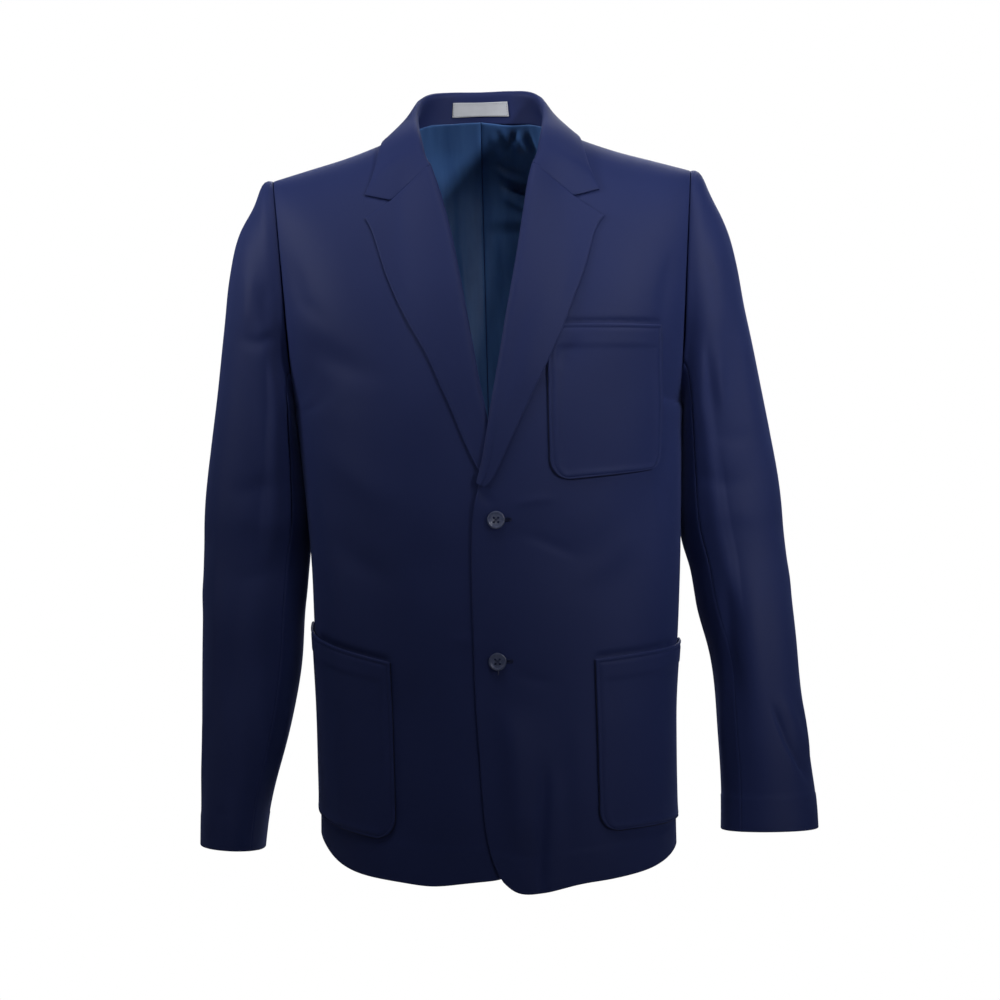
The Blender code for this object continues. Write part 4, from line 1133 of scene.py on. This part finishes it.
    @staticmethod
    def _inside_out(mesh: bpy.types.Mesh) -> bool:
        """Tells a closed mesh that is inside out by its volume.

        Args:
            mesh: The mesh.

        Returns:
            Whether its faces point inwards.
        """
        bm = bmesh.new()
        bm.from_mesh(mesh)
        volume = bm.calc_volume(signed=True)
        bm.free()
        return volume < 0

    def cut(self) -> tuple[float, float, float]:
        """Measures the cloth as if it were laid flat.

        Returns:
            Its width, its length and its area, in metres and square metres.
        """
        across = np.linalg.norm(np.diff(self.points, axis=1), axis=2).sum(axis=1).max()
        along = np.linalg.norm(np.diff(self.points, axis=0), axis=2).sum(axis=0).max()
        sides = np.diff(self.points, axis=1)[:-1], np.diff(self.points, axis=0)[:, :-1]
        area = np.linalg.norm(np.cross(*sides), axis=2).sum()
        return float(across), float(along), float(min(area, across * along))

    def spots(self, rows: np.ndarray, columns: np.ndarray) -> Line:
        """Finds places on the right side of the cloth.

        Args:
            rows: Places along it, in metres.
            columns: Places across it, in metres.

        Returns:
            The line through them.
        """
        at_row = np.interp(rows, self.row_places, np.arange(len(self.row_places)))
        at_column = np.interp(columns, self.column_places, np.arange(len(self.column_places)))
        row = np.minimum(at_row.astype(int), len(self.row_places) - 2)
        column = np.minimum(at_column.astype(int), len(self.column_places) - 2)
        down, over = (at_row - row)[:, None], (at_column - column)[:, None]
        outs = self.outs()
        found = []
        for grid in (self.points + outs * (self.wall / 2 + self.plump[..., None]), outs):
            upper = grid[row, column] * (1 - over) + grid[row, column + 1] * over
            lower = grid[row + 1, column] * (1 - over) + grid[row + 1, column + 1] * over
            found.append(upper * (1 - down) + lower * down)
        return found[0], found[1]

    def runs(self, corners: Sequence[Place], count: int) -> list[Line]:
        """Finds a straight line of so many spots from each corner to the next, in metres."""
        return [self.spots(*np.linspace(start, end, count).T) for start, end in zip(corners, corners[1:])]


# --- Sewing -------------------------------------------------------------------------------------


def join_up(name: str, bm: bmesh.types.BMesh, finish: Finish) -> bpy.types.Object:
    """Turns a bmesh into a finished object that rides on the body.

    Args:
        name: The object's name.
        bm: Its shape, in place.
        finish: Its finish.

    Returns:
        The object.
    """
    bmesh.ops.recalc_face_normals(bm, faces=bm.faces[:])
    mesh = bpy.data.meshes.new(name)
    bm.to_mesh(mesh)
    bm.free()
    return finished(mesh, finish)


def upright(point: Vector, run: Vector, out: Vector) -> Matrix:
    """Sets X along a run and Z out of the cloth.

    Args:
        point: Where it is set.
        run: The way along.
        out: The way out, not quite upright on the run.

    Returns:
        The turn with its place.
    """
    run = run.normalized()
    side = out.cross(run).normalized()
    out = run.cross(side)
    turned = Matrix((run, side, out)).transposed().to_4x4()
    turned.translation = point
    return turned


@dataclass(frozen=True)
class Stitching:
    """A line of small machine stitches, in millimetres."""

    pitch: float = 3.2
    length: float = 2.5
    width: float = 0.34
    proud: float = 0.06

    FLATNESS = 1 / 1.2  # how thick a stitch is, as a share of its width
    SHORTEST = 0.5  # a stitch squeezed below this share of its length is left out

    def sew(self, name: str, lines: Iterable[Line], finish: Finish, slot: str) -> None:
        """Sews along lines of points.

        Args:
            name: The object's name.
            lines: What is sewn along.
            finish: The thread.
            slot: The record's material slot; not used.
        """
        bm = bmesh.new()
        for points, outs in lines:
            steps = np.linalg.norm(np.diff(points, axis=0), axis=1)
            at = np.concatenate([[0], np.cumsum(steps)])
            count = max(1, int(at[-1] / (self.pitch * MM)))
            for place in (np.arange(count) + 0.5) * at[-1] / count:
                ends = [self.read(points, at, place + half * self.length * MM) for half in (-0.5, 0.5)]
                out = self.read(outs, at, place)
                middle = (ends[0] + ends[1]) / 2 + out * self.proud * MM
                if (ends[1] - ends[0]).length < self.SHORTEST * self.length * MM:
                    continue
                sizes = Vector((self.length, self.width, self.width * self.FLATNESS)) / 2 * MM
                shape = Matrix.Diagonal((*sizes, 1))
                bmesh.ops.create_icosphere(bm, subdivisions=1, radius=1,
                                           matrix=upright(middle, ends[1] - ends[0], out) @ shape)
        join_up(name, bm, finish)

    @staticmethod
    def read(values: np.ndarray, at: np.ndarray, place: float) -> Vector:
        """Returns the vector at one place along a line of them."""
        return Vector([np.interp(place, at, column) for column in values.T])


class FrontOf:
    """A cloth piece's surface as it is seen from the front."""

    def __init__(self, piece: bpy.types.Object) -> None:
        """Reads the piece.

        Args:
            piece: The cloth piece.
        """
        cloth = bmesh.new()
        cloth.from_mesh(piece.data)
        self.tree = BVHTree.FromBMesh(cloth)
        cloth.free()

    def line(self, places: Iterable[Place]) -> Line:
        """Finds the line that lies behind places across and up, in millimetres."""
        hits = [self.tree.ray_cast(Vector((x * MM, -1, z * MM)), Vector((0, 1, 0)))[:2] for x, z in places]
        return np.array([point[:] for point, _ in hits]), np.array([out[:] for _, out in hits])


# --- The blazer's pieces --------------------------------------------------------------------------

SIDES = {"l": 1, "r": -1}


@dataclass(frozen=True)
class Shell:
    """The two fronts and the two backs, in millimetres."""

    wall: float = 1.8
    weave: Weave = Weave(step=3.0, fold_width=30.0, fold_lift=0.4, seam_sink=0.5)
    front_edges: Edges = Edges(Edge.FOLDED, Edge.SEAM, Edge.PLAIN, Edge.SEAM)
    back_edges: Edges = Edges(Edge.FOLDED, Edge.SEAM, Edge.SEAM, Edge.SEAM)

    def build(self) -> None:
        """Makes the four panels."""
        for key, side in SIDES.items():
            for piece, out, edges, creases in (
                ("front", -1, self.front_edges, FRONT_CREASES + MOUTH_CREASES),
                ("back", 1, self.back_edges, BACK_CREASES),
            ):
                lay = Lay((0, 0, 1), (side, 0, 0), (0, out, 0))
                panel = Cloth(f"{piece}_{key}", self.wall, lay, edges, self.weave).crease(creases)
                panel.make(f"cloth_{piece}_{key}", SUITING, "suiting", "draped")


@dataclass(frozen=True)
class Sleeves:
    """The two-piece sleeves, in millimetres."""

    wall: float = 1.8
    weave: Weave = Weave(step=3.2, fold_width=34.0, fold_lift=0.4, seam_sink=0.5)
    edges: Edges = Edges(Edge.SEAM, Edge.FOLDED, Edge.SEAM, Edge.SEAM)

    def build(self) -> None:
        """Makes both pieces of both sleeves."""
        for key, side in SIDES.items():
            creases = LEFT_SLEEVE_CREASES if side > 0 else RIGHT_SLEEVE_CREASES
            for piece, out in (("sleeve_top", side), ("sleeve_under", -side)):
                lay = Lay((0, 0, -1), (0, 1, 0), (out, 0, 0))
                cloth = Cloth(f"{piece}_{key}", self.wall, lay, self.edges, self.weave)
                cloth.crease((*creases, *SLEEVE_BACK_CREASES, *SLEEVE_SIDE_CREASES, INNER_SIDE_CREASES[side]))
                cloth.make(f"cloth_{piece}_{key}", SUITING, "suiting", "draped")


@dataclass(frozen=True)
class CollarSet:
    """The collar and the two lapels, in millimetres."""

    COLLAR_LAY: ClassVar[Lay] = Lay((1, 0, 0), (0, 0, -1), (0, 0.7, 0.7))
    collar_wall: float = 1.8
    lapel_wall: float = 1.6
    notch_in_collar: int = 9
    notch_in_lapel: int = 8
    weave: Weave = Weave(step=2.6, fold_width=7.0, fold_lift=0.3, seam_sink=0.5, seam_reach=0.5)
    collar_edges: Edges = Edges(Edge.BUTTED, Edge.BUTTED, Edge.PLAIN, Edge.FOLDED)
    lapel_edges: Edges = Edges(Edge.BUTTED, Edge.PLAIN, Edge.BUTTED, Edge.FOLDED)

    def build(self) -> None:
        """Makes the collar, then the lapels."""
        collar = Cloth("collar", self.collar_wall, self.COLLAR_LAY, self.collar_edges, self.weave,
                       self.notch_in_collar)
        collar.make("cloth_collar", SUITING, "suiting", "folded")
        for key, side in SIDES.items():
            lay = Lay((0, 0, -1), (side, 0, 0), (0, -1, 0))
            lapel = Cloth(f"lapel_{key}", self.lapel_wall, lay, self.lapel_edges, self.weave,
                          self.notch_in_lapel)
            lapel.make(f"cloth_lapel_{key}", SUITING, "suiting", "folded")


@dataclass(frozen=True)
class Pockets:
    """The three patch pockets with their stitching and the near-black lines of painted shadow round them, in
    millimetres.
    """

    wall: float = 1.6
    hem_depth: float = 21.0
    hem_rise: float = 0.9
    turn_width: float = 10.0
    turn_rise: float = 0.7
    stitched_in: float = 3.6
    groove_width: float = 0.9
    groove_depth: float = 0.75
    # where the painted shadow line lies: past the pocket's edge, and near the foot of its wall
    shadow_line_past: float = 0.5
    shadow_line_above: float = 0.2
    weave: Weave = Weave(step=2.4, fold_width=9.5)
    edges: Edges = Edges(Edge.PLAIN, Edge.PLAIN, Edge.PLAIN, Edge.PLAIN)
    stitching: Stitching = Stitching()
    # painted shadow: a near-black line of thread round the pocket's sewn edges, where the edge's shadow falls
    shadow_line: Stitching = Stitching(pitch=2.0, length=2.5, width=1.15, proud=0.0)

    def build(self) -> None:
        """Makes the chest pocket and the two lower ones."""
        for node, front in (("pocket_chest", "l"), ("pocket_low_l", "l"), ("pocket_low_r", "r")):
            lay = Lay((0, 0, -1), (SIDES[front], 0, 0), (0, -1, 0))
            cloth = Cloth(node, self.wall, lay, self.edges, self.weave)
            cloth.crease(FRONT_CREASES).thicken(self.relief)
            cloth.make(f"cloth_{node}", SUITING, "suiting", "laid", [f"cloth_front_{front}"])
            self.stitching.sew(f"stitches_{node}", self.lines(cloth), NAVY_THREAD, "suiting")
            # painted shadow: the near-black line round the pocket's three sewn edges
            self.shadow_line.sew(f"felling_{node}", self.outline(cloth), SHADOW_THREAD, "suiting")

    def relief(self, cloth: Cloth) -> np.ndarray:
        """Works out the rise of the turned hem and edges, with the groove that the stitching draws in.

        Args:
            cloth: The pocket's cloth.

        Returns:
            Its rise at every point, in metres.
        """
        rows, columns = cloth.row_places[:, None] / MM, cloth.column_places[None, :] / MM
        edge = np.minimum(np.minimum(rows, rows[-1] - rows), np.minimum(columns, columns[0, -1] - columns))
        hem = self.turning(rows, self.hem_depth, 1.0) * self.hem_rise
        turned = self.turning(edge, self.turn_width, 1.5) * self.turn_rise
        groove = np.exp(-(((edge - self.stitched_in) / self.groove_width) ** 2)) * self.groove_depth
        return (np.maximum(hem, turned) - groove) * MM

    @staticmethod
    def turning(places: np.ndarray, width: float, slope: float) -> np.ndarray:
        """Returns 1 on a turning of this width and 0 past it, with a slope to each side of its end."""
        return 1 - smooth_ramp(width - slope, width + slope, places)

    def lines(self, cloth: Cloth) -> list[Line]:
        """Lays out the stitches down one side, along the bottom and up the other.

        Args:
            cloth: The pocket's cloth.

        Returns:
            A line for each side.
        """
        inset = self.stitched_in * MM
        bottom, far = cloth.row_places[-1] - inset, cloth.column_places[-1] - inset
        return cloth.runs([(inset, inset), (bottom, inset), (bottom, far), (inset, far)], 60)

    def outline(self, cloth: Cloth) -> list[Line]:
        """Lays out the near-black line of painted shadow at the foot of the pocket's edge, on the three sewn
        sides.

        Args:
            cloth: The pocket's cloth.

        Returns:
            A line for each side.
        """
        length, width = cloth.row_places[-1], cloth.column_places[-1]
        corners = np.array([(0, 0), (length, 0), (length, width), (0, width)])
        centre = corners.mean(axis=0)
        found = []
        for start, end in zip(corners, corners[1:]):
            edge = np.linspace(start, end, 80)
            points, outs = cloth.spots(*edge.T)
            inner = edge + np.sign(centre - edge) * (start == end) * MM
            on = unit(points - cloth.spots(*inner.T)[0])
            moved = on * self.shadow_line_past - outs * (self.wall - self.shadow_line_above)
            found.append((points + moved * MM, outs))
        return found


@dataclass(frozen=True)
class BackLining:
    """The lining's two halves inside the backs, in millimetres."""

    wall: float = 1.0
    rim_miss: float = 0.03
    lap: Place3 = (0.0, -0.9, 1.2)
    drawn_over: float = 28.0
    neck_reach: Place = (62.0, 74.0)
    nape_from: float = 5.0
    weave: Weave = Weave(step=2.6, fold_width=12.0, fold_lift=0.2, seam_sink=0.5)
    edges: Edges = Edges(Edge.FOLDED, Edge.SEAM, Edge.SEAM, Edge.PLAIN)

    def build(self) -> None:
        """Makes both halves."""
        for key, side in SIDES.items():
            lay = Lay((0, 0, 1), (side, 0, 0), (0, -1, 0), self.rim_miss)
            half = Cloth(f"lining_back_{key}", self.wall, lay, self.edges, self.weave)
            pressed = tuple(crease.from_inside() for crease in BACK_CREASES if crease.proud < 0)
            self.meet_collar(half).crease(LINING_CREASES + pressed)
            half.make(f"cloth_lining_{key}", SATIN, "lining", "hung")

    def meet_collar(self, half: Cloth) -> Cloth:
        """Draws the lining's top up to the foot of the collar's stand.

        Args:
            half: One half of the lining.

        Returns:
            The same half.
        """
        foot = WallSheet("collar", CollarSet.collar_wall, CollarSet.COLLAR_LAY).points[:, 0] / MM
        foot = foot[foot[:, 1] > self.nape_from]
        top = half.points[-1] / MM
        across = top[:, 0]
        wanted = np.stack([across, *(np.interp(across, foot[:, 0], foot[:, k]) for k in (1, 2))], axis=1)
        pull = (wanted + self.lap - top) * (1 - smooth_ramp(*self.neck_reach, np.abs(top[:, :1])))
        below = (half.row_places[-1] - half.row_places) / MM
        half.points = half.points + pull * (1 - smooth_ramp(0, self.drawn_over, below))[:, None, None] * MM
        return half


@dataclass(frozen=True)
class NeckLabel:
    """The bare label, in millimetres."""

    wall: float = 1.0
    stitched_in: float = 1.1
    weave: Weave = Weave(step=2.2, fold_width=2.2, fold_lift=0.12, edge_round=0.5)
    edges: Edges = Edges(Edge.FOLDED, Edge.FOLDED, Edge.FOLDED, Edge.FOLDED)
    stitching: Stitching = Stitching(pitch=2.2, length=1.7, width=0.28)

    def build(self) -> None:
        """Makes the label and the stitches round it."""
        tape = Cloth("label", self.wall, Lay((0, 0, -1), (1, 0, 0), (0, -1, 0)), self.edges, self.weave)
        tape.make("cloth_label", TAPE, "label", "laid", ["cloth_collar"])
        inset = self.stitched_in * MM
        low, far = tape.row_places[-1] - inset, tape.column_places[-1] - inset
        round_it = tape.runs([(inset, inset), (low, inset), (low, far), (inset, far), (inset, inset)], 30)
        self.stitching.sew("stitches_label", round_it, NAVY_THREAD, "label")


@dataclass(frozen=True)
class FrontButtons:
    """The two sewn buttons with their buttonholes, in millimetres."""

    radius: float = 8.4
    thick: float = 3.1
    rim: float = 1.7
    dish: float = 0.75
    hole_radius: float = 1.05
    hole_apart: float = 4.2
    thread_radius: float = 0.2
    sides: int = 64
    slit: float = 17.0
    slit_from: float = -4.0
    loose_end: tuple[Place, Place] = ((3.9, -510.5), (3.2, -518.5))
    loose: Stitching = Stitching(pitch=8.0, length=7.0, width=0.5, proud=0.35)
    purl: Stitching = Stitching(pitch=1.8, length=2.3, width=0.62, proud=0.12)
    purl_apart: float = 0.55
    purl_span: Place = (0.25, 2.05)
    purl_turns: tuple[int, int, int] = (-80, 81, 16)
    # a near-black line of painted shade down the middle of each buttonhole's slit
    slit_shade: Stitching = Stitching(pitch=1.5, length=1.9, width=0.7, proud=0.1)

    DRILL_DEPTH = 12.0
    SHARP_FROM = math.radians(40)
    STRANDS = (-0.2, 0.2)  # two strands in each bar of thread
    BAR_LIFT = 0.35  # how far a bar lies above the dish, and the second above the first
    BAR_PAST = 0.5  # how far a bar runs into its holes

    def build(self) -> None:
        """Makes both buttons and what holds them."""
        front = FrontOf(bpy.data.objects["cloth_front_l"])
        for node in ("button_top", "button_low"):
            low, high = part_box(node)
            centre = (low + high) / 2
            place = Matrix.Translation((centre.x, low.y, centre.z)) @ Matrix.Rotation(math.pi / 2, 4, "X")
            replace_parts(self.disc(node, place), node)
            self.cross(node, place)
            self.buttonhole(node, front, centre.x / MM, centre.z / MM)
        self.loose.sew("thread_end", [front.line(self.loose_end)], LOOSE_THREAD, "button")

    def buttonhole(self, node: str, front: FrontOf, x: float, z: float) -> None:
        """Works a buttonhole that runs from under the button away from the front's edge.

        Args:
            node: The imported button.
            front: The cloth that it is cut in.
            x: The button's middle, across.
            z: Its middle, up.
        """
        start, end = x + self.slit_from, x + self.slit_from + self.slit
        lines = []
        for at in np.arange(start, end, self.purl_apart):
            for side in (-1, 1):
                lines.append(front.line([(at, z + side * span) for span in self.purl_span]))
        for turn in np.radians(np.arange(*self.purl_turns)):
            run = np.array([math.cos(turn), math.sin(turn)])
            lines.append(front.line([(end, z) + run * span for span in self.purl_span]))
        self.purl.sew(f"purl_{node}", lines, NAVY_THREAD, "suiting")
        # painted shade: the near-black line down the slit
        self.slit_shade.sew(f"slit_{node}", [front.line([(start, z), (end, z)])], SHADOW_THREAD, "suiting")

    def profile(self) -> list[Place]:
        """Draws the turned outline.

        Returns:
            Radii and heights from the middle of the face, over the rim, to the middle of the back.
        """
        r, t = self.radius, self.thick
        inner, dish = r - self.rim, self.dish
        return [(0, -dish), (inner - 1.6, -dish), (inner - 0.5, -dish * 0.72), (inner, -0.12),
                (inner + 0.5, 0.0), (r - 0.75, -0.03), (r - 0.2, -0.35), (r, -0.95), (r - 0.12, -1.6),
                (r - 1.1, -2.35), (r - 3.2, -t + 0.15), (0, -t)]

    def disc(self, node: str, place: Matrix) -> bpy.types.Object:
        """Turns the disc and drills its four holes.

        Args:
            node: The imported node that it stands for.
            place: Where its face is, with Z out of it.

        Returns:
            The button.
        """
        bm = bmesh.new()
        outline = [bm.verts.new((radius * MM, 0, height * MM)) for radius, height in self.profile()]
        edges = [bm.edges.new(pair) for pair in zip(outline, outline[1:])]
        bmesh.ops.spin(bm, geom=outline + edges, cent=(0, 0, 0), axis=(0, 0, 1), angle=2 * math.pi,
                       steps=self.sides, use_merge=True)
        bmesh.ops.remove_doubles(bm, verts=bm.verts[:], dist=MERGED)
        bmesh.ops.recalc_face_normals(bm, faces=bm.faces[:])
        blank = bpy.data.meshes.new("blank")
        bm.to_mesh(blank)
        bm.free()
        drill = bmesh.new()
        radius = self.hole_radius * MM
        for x, y in self.hole_places():
            bmesh.ops.create_cone(drill, cap_ends=True, segments=20, radius1=radius, radius2=radius,
                                  depth=self.DRILL_DEPTH * MM,
                                  matrix=Matrix.Translation((x * MM, y * MM, 0)))
        cutter = bpy.data.meshes.new("drill")
        drill.to_mesh(cutter)
        drill.free()
        blank_object, drill_object = (bpy.data.objects.new(mesh.name, mesh) for mesh in (blank, cutter))
        for helper in (blank_object, drill_object):
            bpy.context.scene.collection.objects.link(helper)
        cut = blank_object.modifiers.new("holes", "BOOLEAN")
        cut.operation, cut.solver, cut.object = "DIFFERENCE", "EXACT", drill_object
        graph = bpy.context.evaluated_depsgraph_get()
        drilled = bmesh.new()
        drilled.from_mesh(blank_object.evaluated_get(graph).to_mesh())
        for helper in (blank_object, drill_object):
            bpy.data.objects.remove(helper)
        drilled.transform(place)
        button = join_up(f"resin_{node}", drilled, RESIN)
        button.data.set_sharp_from_angle(angle=self.SHARP_FROM)
        return button

    def hole_places(self) -> list[Place]:
        """Returns the middles of the four holes."""
        half = self.hole_apart / 2
        return [(half, half), (-half, half), (-half, -half), (half, -half)]

    def cross(self, node: str, place: Matrix) -> None:
        """Sews the button with two crossed bars of thread.

        Args:
            node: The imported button.
            place: Where its face is, with Z out of it.
        """
        bm = bmesh.new()
        corners = self.hole_places()
        for number, (start, end) in enumerate(((corners[0], corners[2]), (corners[1], corners[3]))):
            for offset in self.STRANDS:
                run = Vector((end[0] - start[0], end[1] - start[1], 0)).normalized()
                across = Vector((-run.y, run.x, 0)) * offset
                length = math.dist(start, end)
                height = -self.dish + self.BAR_LIFT * (1 + number)
                middle = Vector(((start[0] + end[0]) / 2, (start[1] + end[1]) / 2, height)) + across
                thick = self.thread_radius
                shape = Matrix.Diagonal((length / 2 + self.BAR_PAST, thick, thick, 1))
                turn = upright(middle, run, Vector((0, 0, 1)))
                bmesh.ops.create_icosphere(bm, subdivisions=2, radius=1,
                                           matrix=Matrix.Diagonal((MM, MM, MM, 1)) @ turn @ shape)
        bm.transform(place)
        join_up(f"thread_{node}", bm, EYE_THREAD)


# --- The studio -----------------------------------------------------------------------------------


@dataclass(frozen=True)
class Spot:
    """A lamp with a narrow, soft-edged beam.

    Attributes:
        name: Its name.
        place: Where it hangs, in metres.
        aim: What it faces.
        power: Watts.
        angle: The whole width of its beam, in degrees.
        softness: The radius of its face, which softens its shadows.
    """

    name: str
    place: Place3
    aim: Place3
    power: float
    angle: float
    softness: float = 0.2

    BLEND = 0.75  # the share of the beam over which it fades

    def data(self) -> bpy.types.Light:
        """Makes the lamp's light.

        Returns:
            The light.
        """
        light = bpy.data.lights.new(self.name, "SPOT")
        light.energy, light.spot_size = self.power, math.radians(self.angle)
        light.spot_blend, light.shadow_soft_size = self.BLEND, self.softness
        return light


@dataclass(frozen=True)
class Panel:
    """A square soft light.

    Attributes:
        name: Its name.
        place: Where it hangs, in metres.
        aim: What it faces.
        power: Watts.
        size: The side of its face.
    """

    name: str
    place: Place3
    aim: Place3
    power: float
    size: float

    def data(self) -> bpy.types.Light:
        """Makes the panel's light.

        Returns:
            The light.
        """
        light = bpy.data.lights.new(self.name, "AREA")
        light.energy, light.size = self.power, self.size
        return light


LAMPS = (
    Spot("key", (1.6, -1.8, 0.8), (0.2, 0, 0), 158, 16),
    Spot("left", (-2.2, -0.9, 0.8), (-0.22, 0, -0.02), 168, 14),
    Spot("fill_left", (-1.6, -1.8, 0.6), (-0.2, 0, -0.1), 16, 22),
    Spot("fill_right", (1.6, -1.8, 0.6), (0.2, 0, -0.1), 22, 22),
    Spot("low", (1.4, -2.0, 0.3), (0.25, 0, -0.55), 54, 16),
    Spot("neck", (0.8, -2.7, 0.55), (-0.03, 0.06, -0.03), 20, 6, 0.5),
    Spot("left_arm", (-2.3, -0.5, 0.2), (-0.29, 0, -0.5), 14, 12),
    Spot("left_forearm", (-0.9, -2.6, -0.2), (-0.262, 0, -0.53), 44, 5),
    Spot("right_arm", (2.2, -1.0, 0.3), (0.285, 0, -0.36), 64, 9),
    Spot("chest", (0.4, -2.9, -0.1), (0.1, -0.1, -0.235), 76, 5.2),
    Panel("overhead", (0, -0.9, 1.9), (0, -0.1, -0.1), 13, 0.8),
    Panel("behind", (0.3, 2.2, 1.0), (0, 0, -0.3), 26, 1.6),
)


@dataclass(frozen=True)
class Studio:
    """A pale floor, soft lights and the camera, in metres."""

    floor_height: float = -1.35
    floor_radius: float = 2.4
    camera_place: Place3 = (0.0094, -3.2, -0.352)
    lens: float = 117.5
    roll: float = -1.5
    air_glow: float = 0.02

    def build(self) -> None:
        """Sets up everything round the blazer."""
        self.floor()
        self.camera()
        self.air()
        for lamp in LAMPS:
            self.hang(lamp)

    def floor(self) -> None:
        """Lays a round pale floor far below."""
        bm = bmesh.new()
        bmesh.ops.create_circle(bm, cap_ends=True, segments=96, radius=self.floor_radius,
                                matrix=Matrix.Translation((0, 0, self.floor_height)))
        mesh = bpy.data.meshes.new("floor")
        bm.to_mesh(mesh)
        bm.free()
        mesh.materials.append(StudioPaper().material())
        floor = bpy.data.objects.new("floor", mesh)
        bpy.context.scene.collection.objects.link(floor)

    def camera(self) -> None:
        """Puts the camera where the photograph was taken from."""
        data = bpy.data.cameras.new("camera")
        data.lens = self.lens
        camera = bpy.data.objects.new("camera", data)
        camera.rotation_mode = "QUATERNION"
        camera.location = self.camera_place
        level = Vector((0, 1, 0)).to_track_quat("-Z", "Y")
        camera.rotation_quaternion = level @ Matrix.Rotation(math.radians(self.roll), 3, "Z").to_quaternion()
        bpy.context.scene.collection.objects.link(camera)
        bpy.context.scene.camera = camera

    def air(self) -> None:
        """Makes the surroundings white to the eye, with a soft dim light of their own."""
        scene = bpy.context.scene
        scene.view_settings.view_transform = "Standard"
        world = bpy.data.worlds.new("air")
        scene.world = world
        world.use_nodes = True
        tree = world.node_tree
        back = tree.nodes["Background"]
        back.inputs["Color"].default_value = (1, 1, 1, 1)
        seen = tree.nodes.new("ShaderNodeLightPath")
        level = tree.nodes.new("ShaderNodeMapRange")
        level.inputs["To Min"].default_value = self.air_glow
        level.inputs["To Max"].default_value = 1.0
        tree.links.new(seen.outputs["Is Camera Ray"], level.inputs["Value"])
        tree.links.new(level.outputs["Result"], back.inputs["Strength"])

    @staticmethod
    def hang(lamp: Spot | Panel) -> None:
        """Puts a lamp in its place, facing its aim.

        Args:
            lamp: The lamp or panel.
        """
        hung = bpy.data.objects.new(lamp.name, lamp.data())
        hung.location = lamp.place
        hung.rotation_mode = "QUATERNION"
        hung.rotation_quaternion = (Vector(lamp.aim) - Vector(lamp.place)).to_track_quat("-Z", "Y")
        bpy.context.scene.collection.objects.link(hung)


def main() -> None:
    """Builds the studio, then the blazer from its shell outwards."""
    logging.basicConfig(level=logging.INFO, format="%(name)s: %(message)s")
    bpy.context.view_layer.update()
    Studio().build()
    for part in (Shell(), Sleeves(), CollarSet(), Pockets(), BackLining(), NeckLabel(), FrontButtons()):
        part.build()
        LOG.info("%s done", type(part).__name__)


if __name__ == "__main__":
    main()
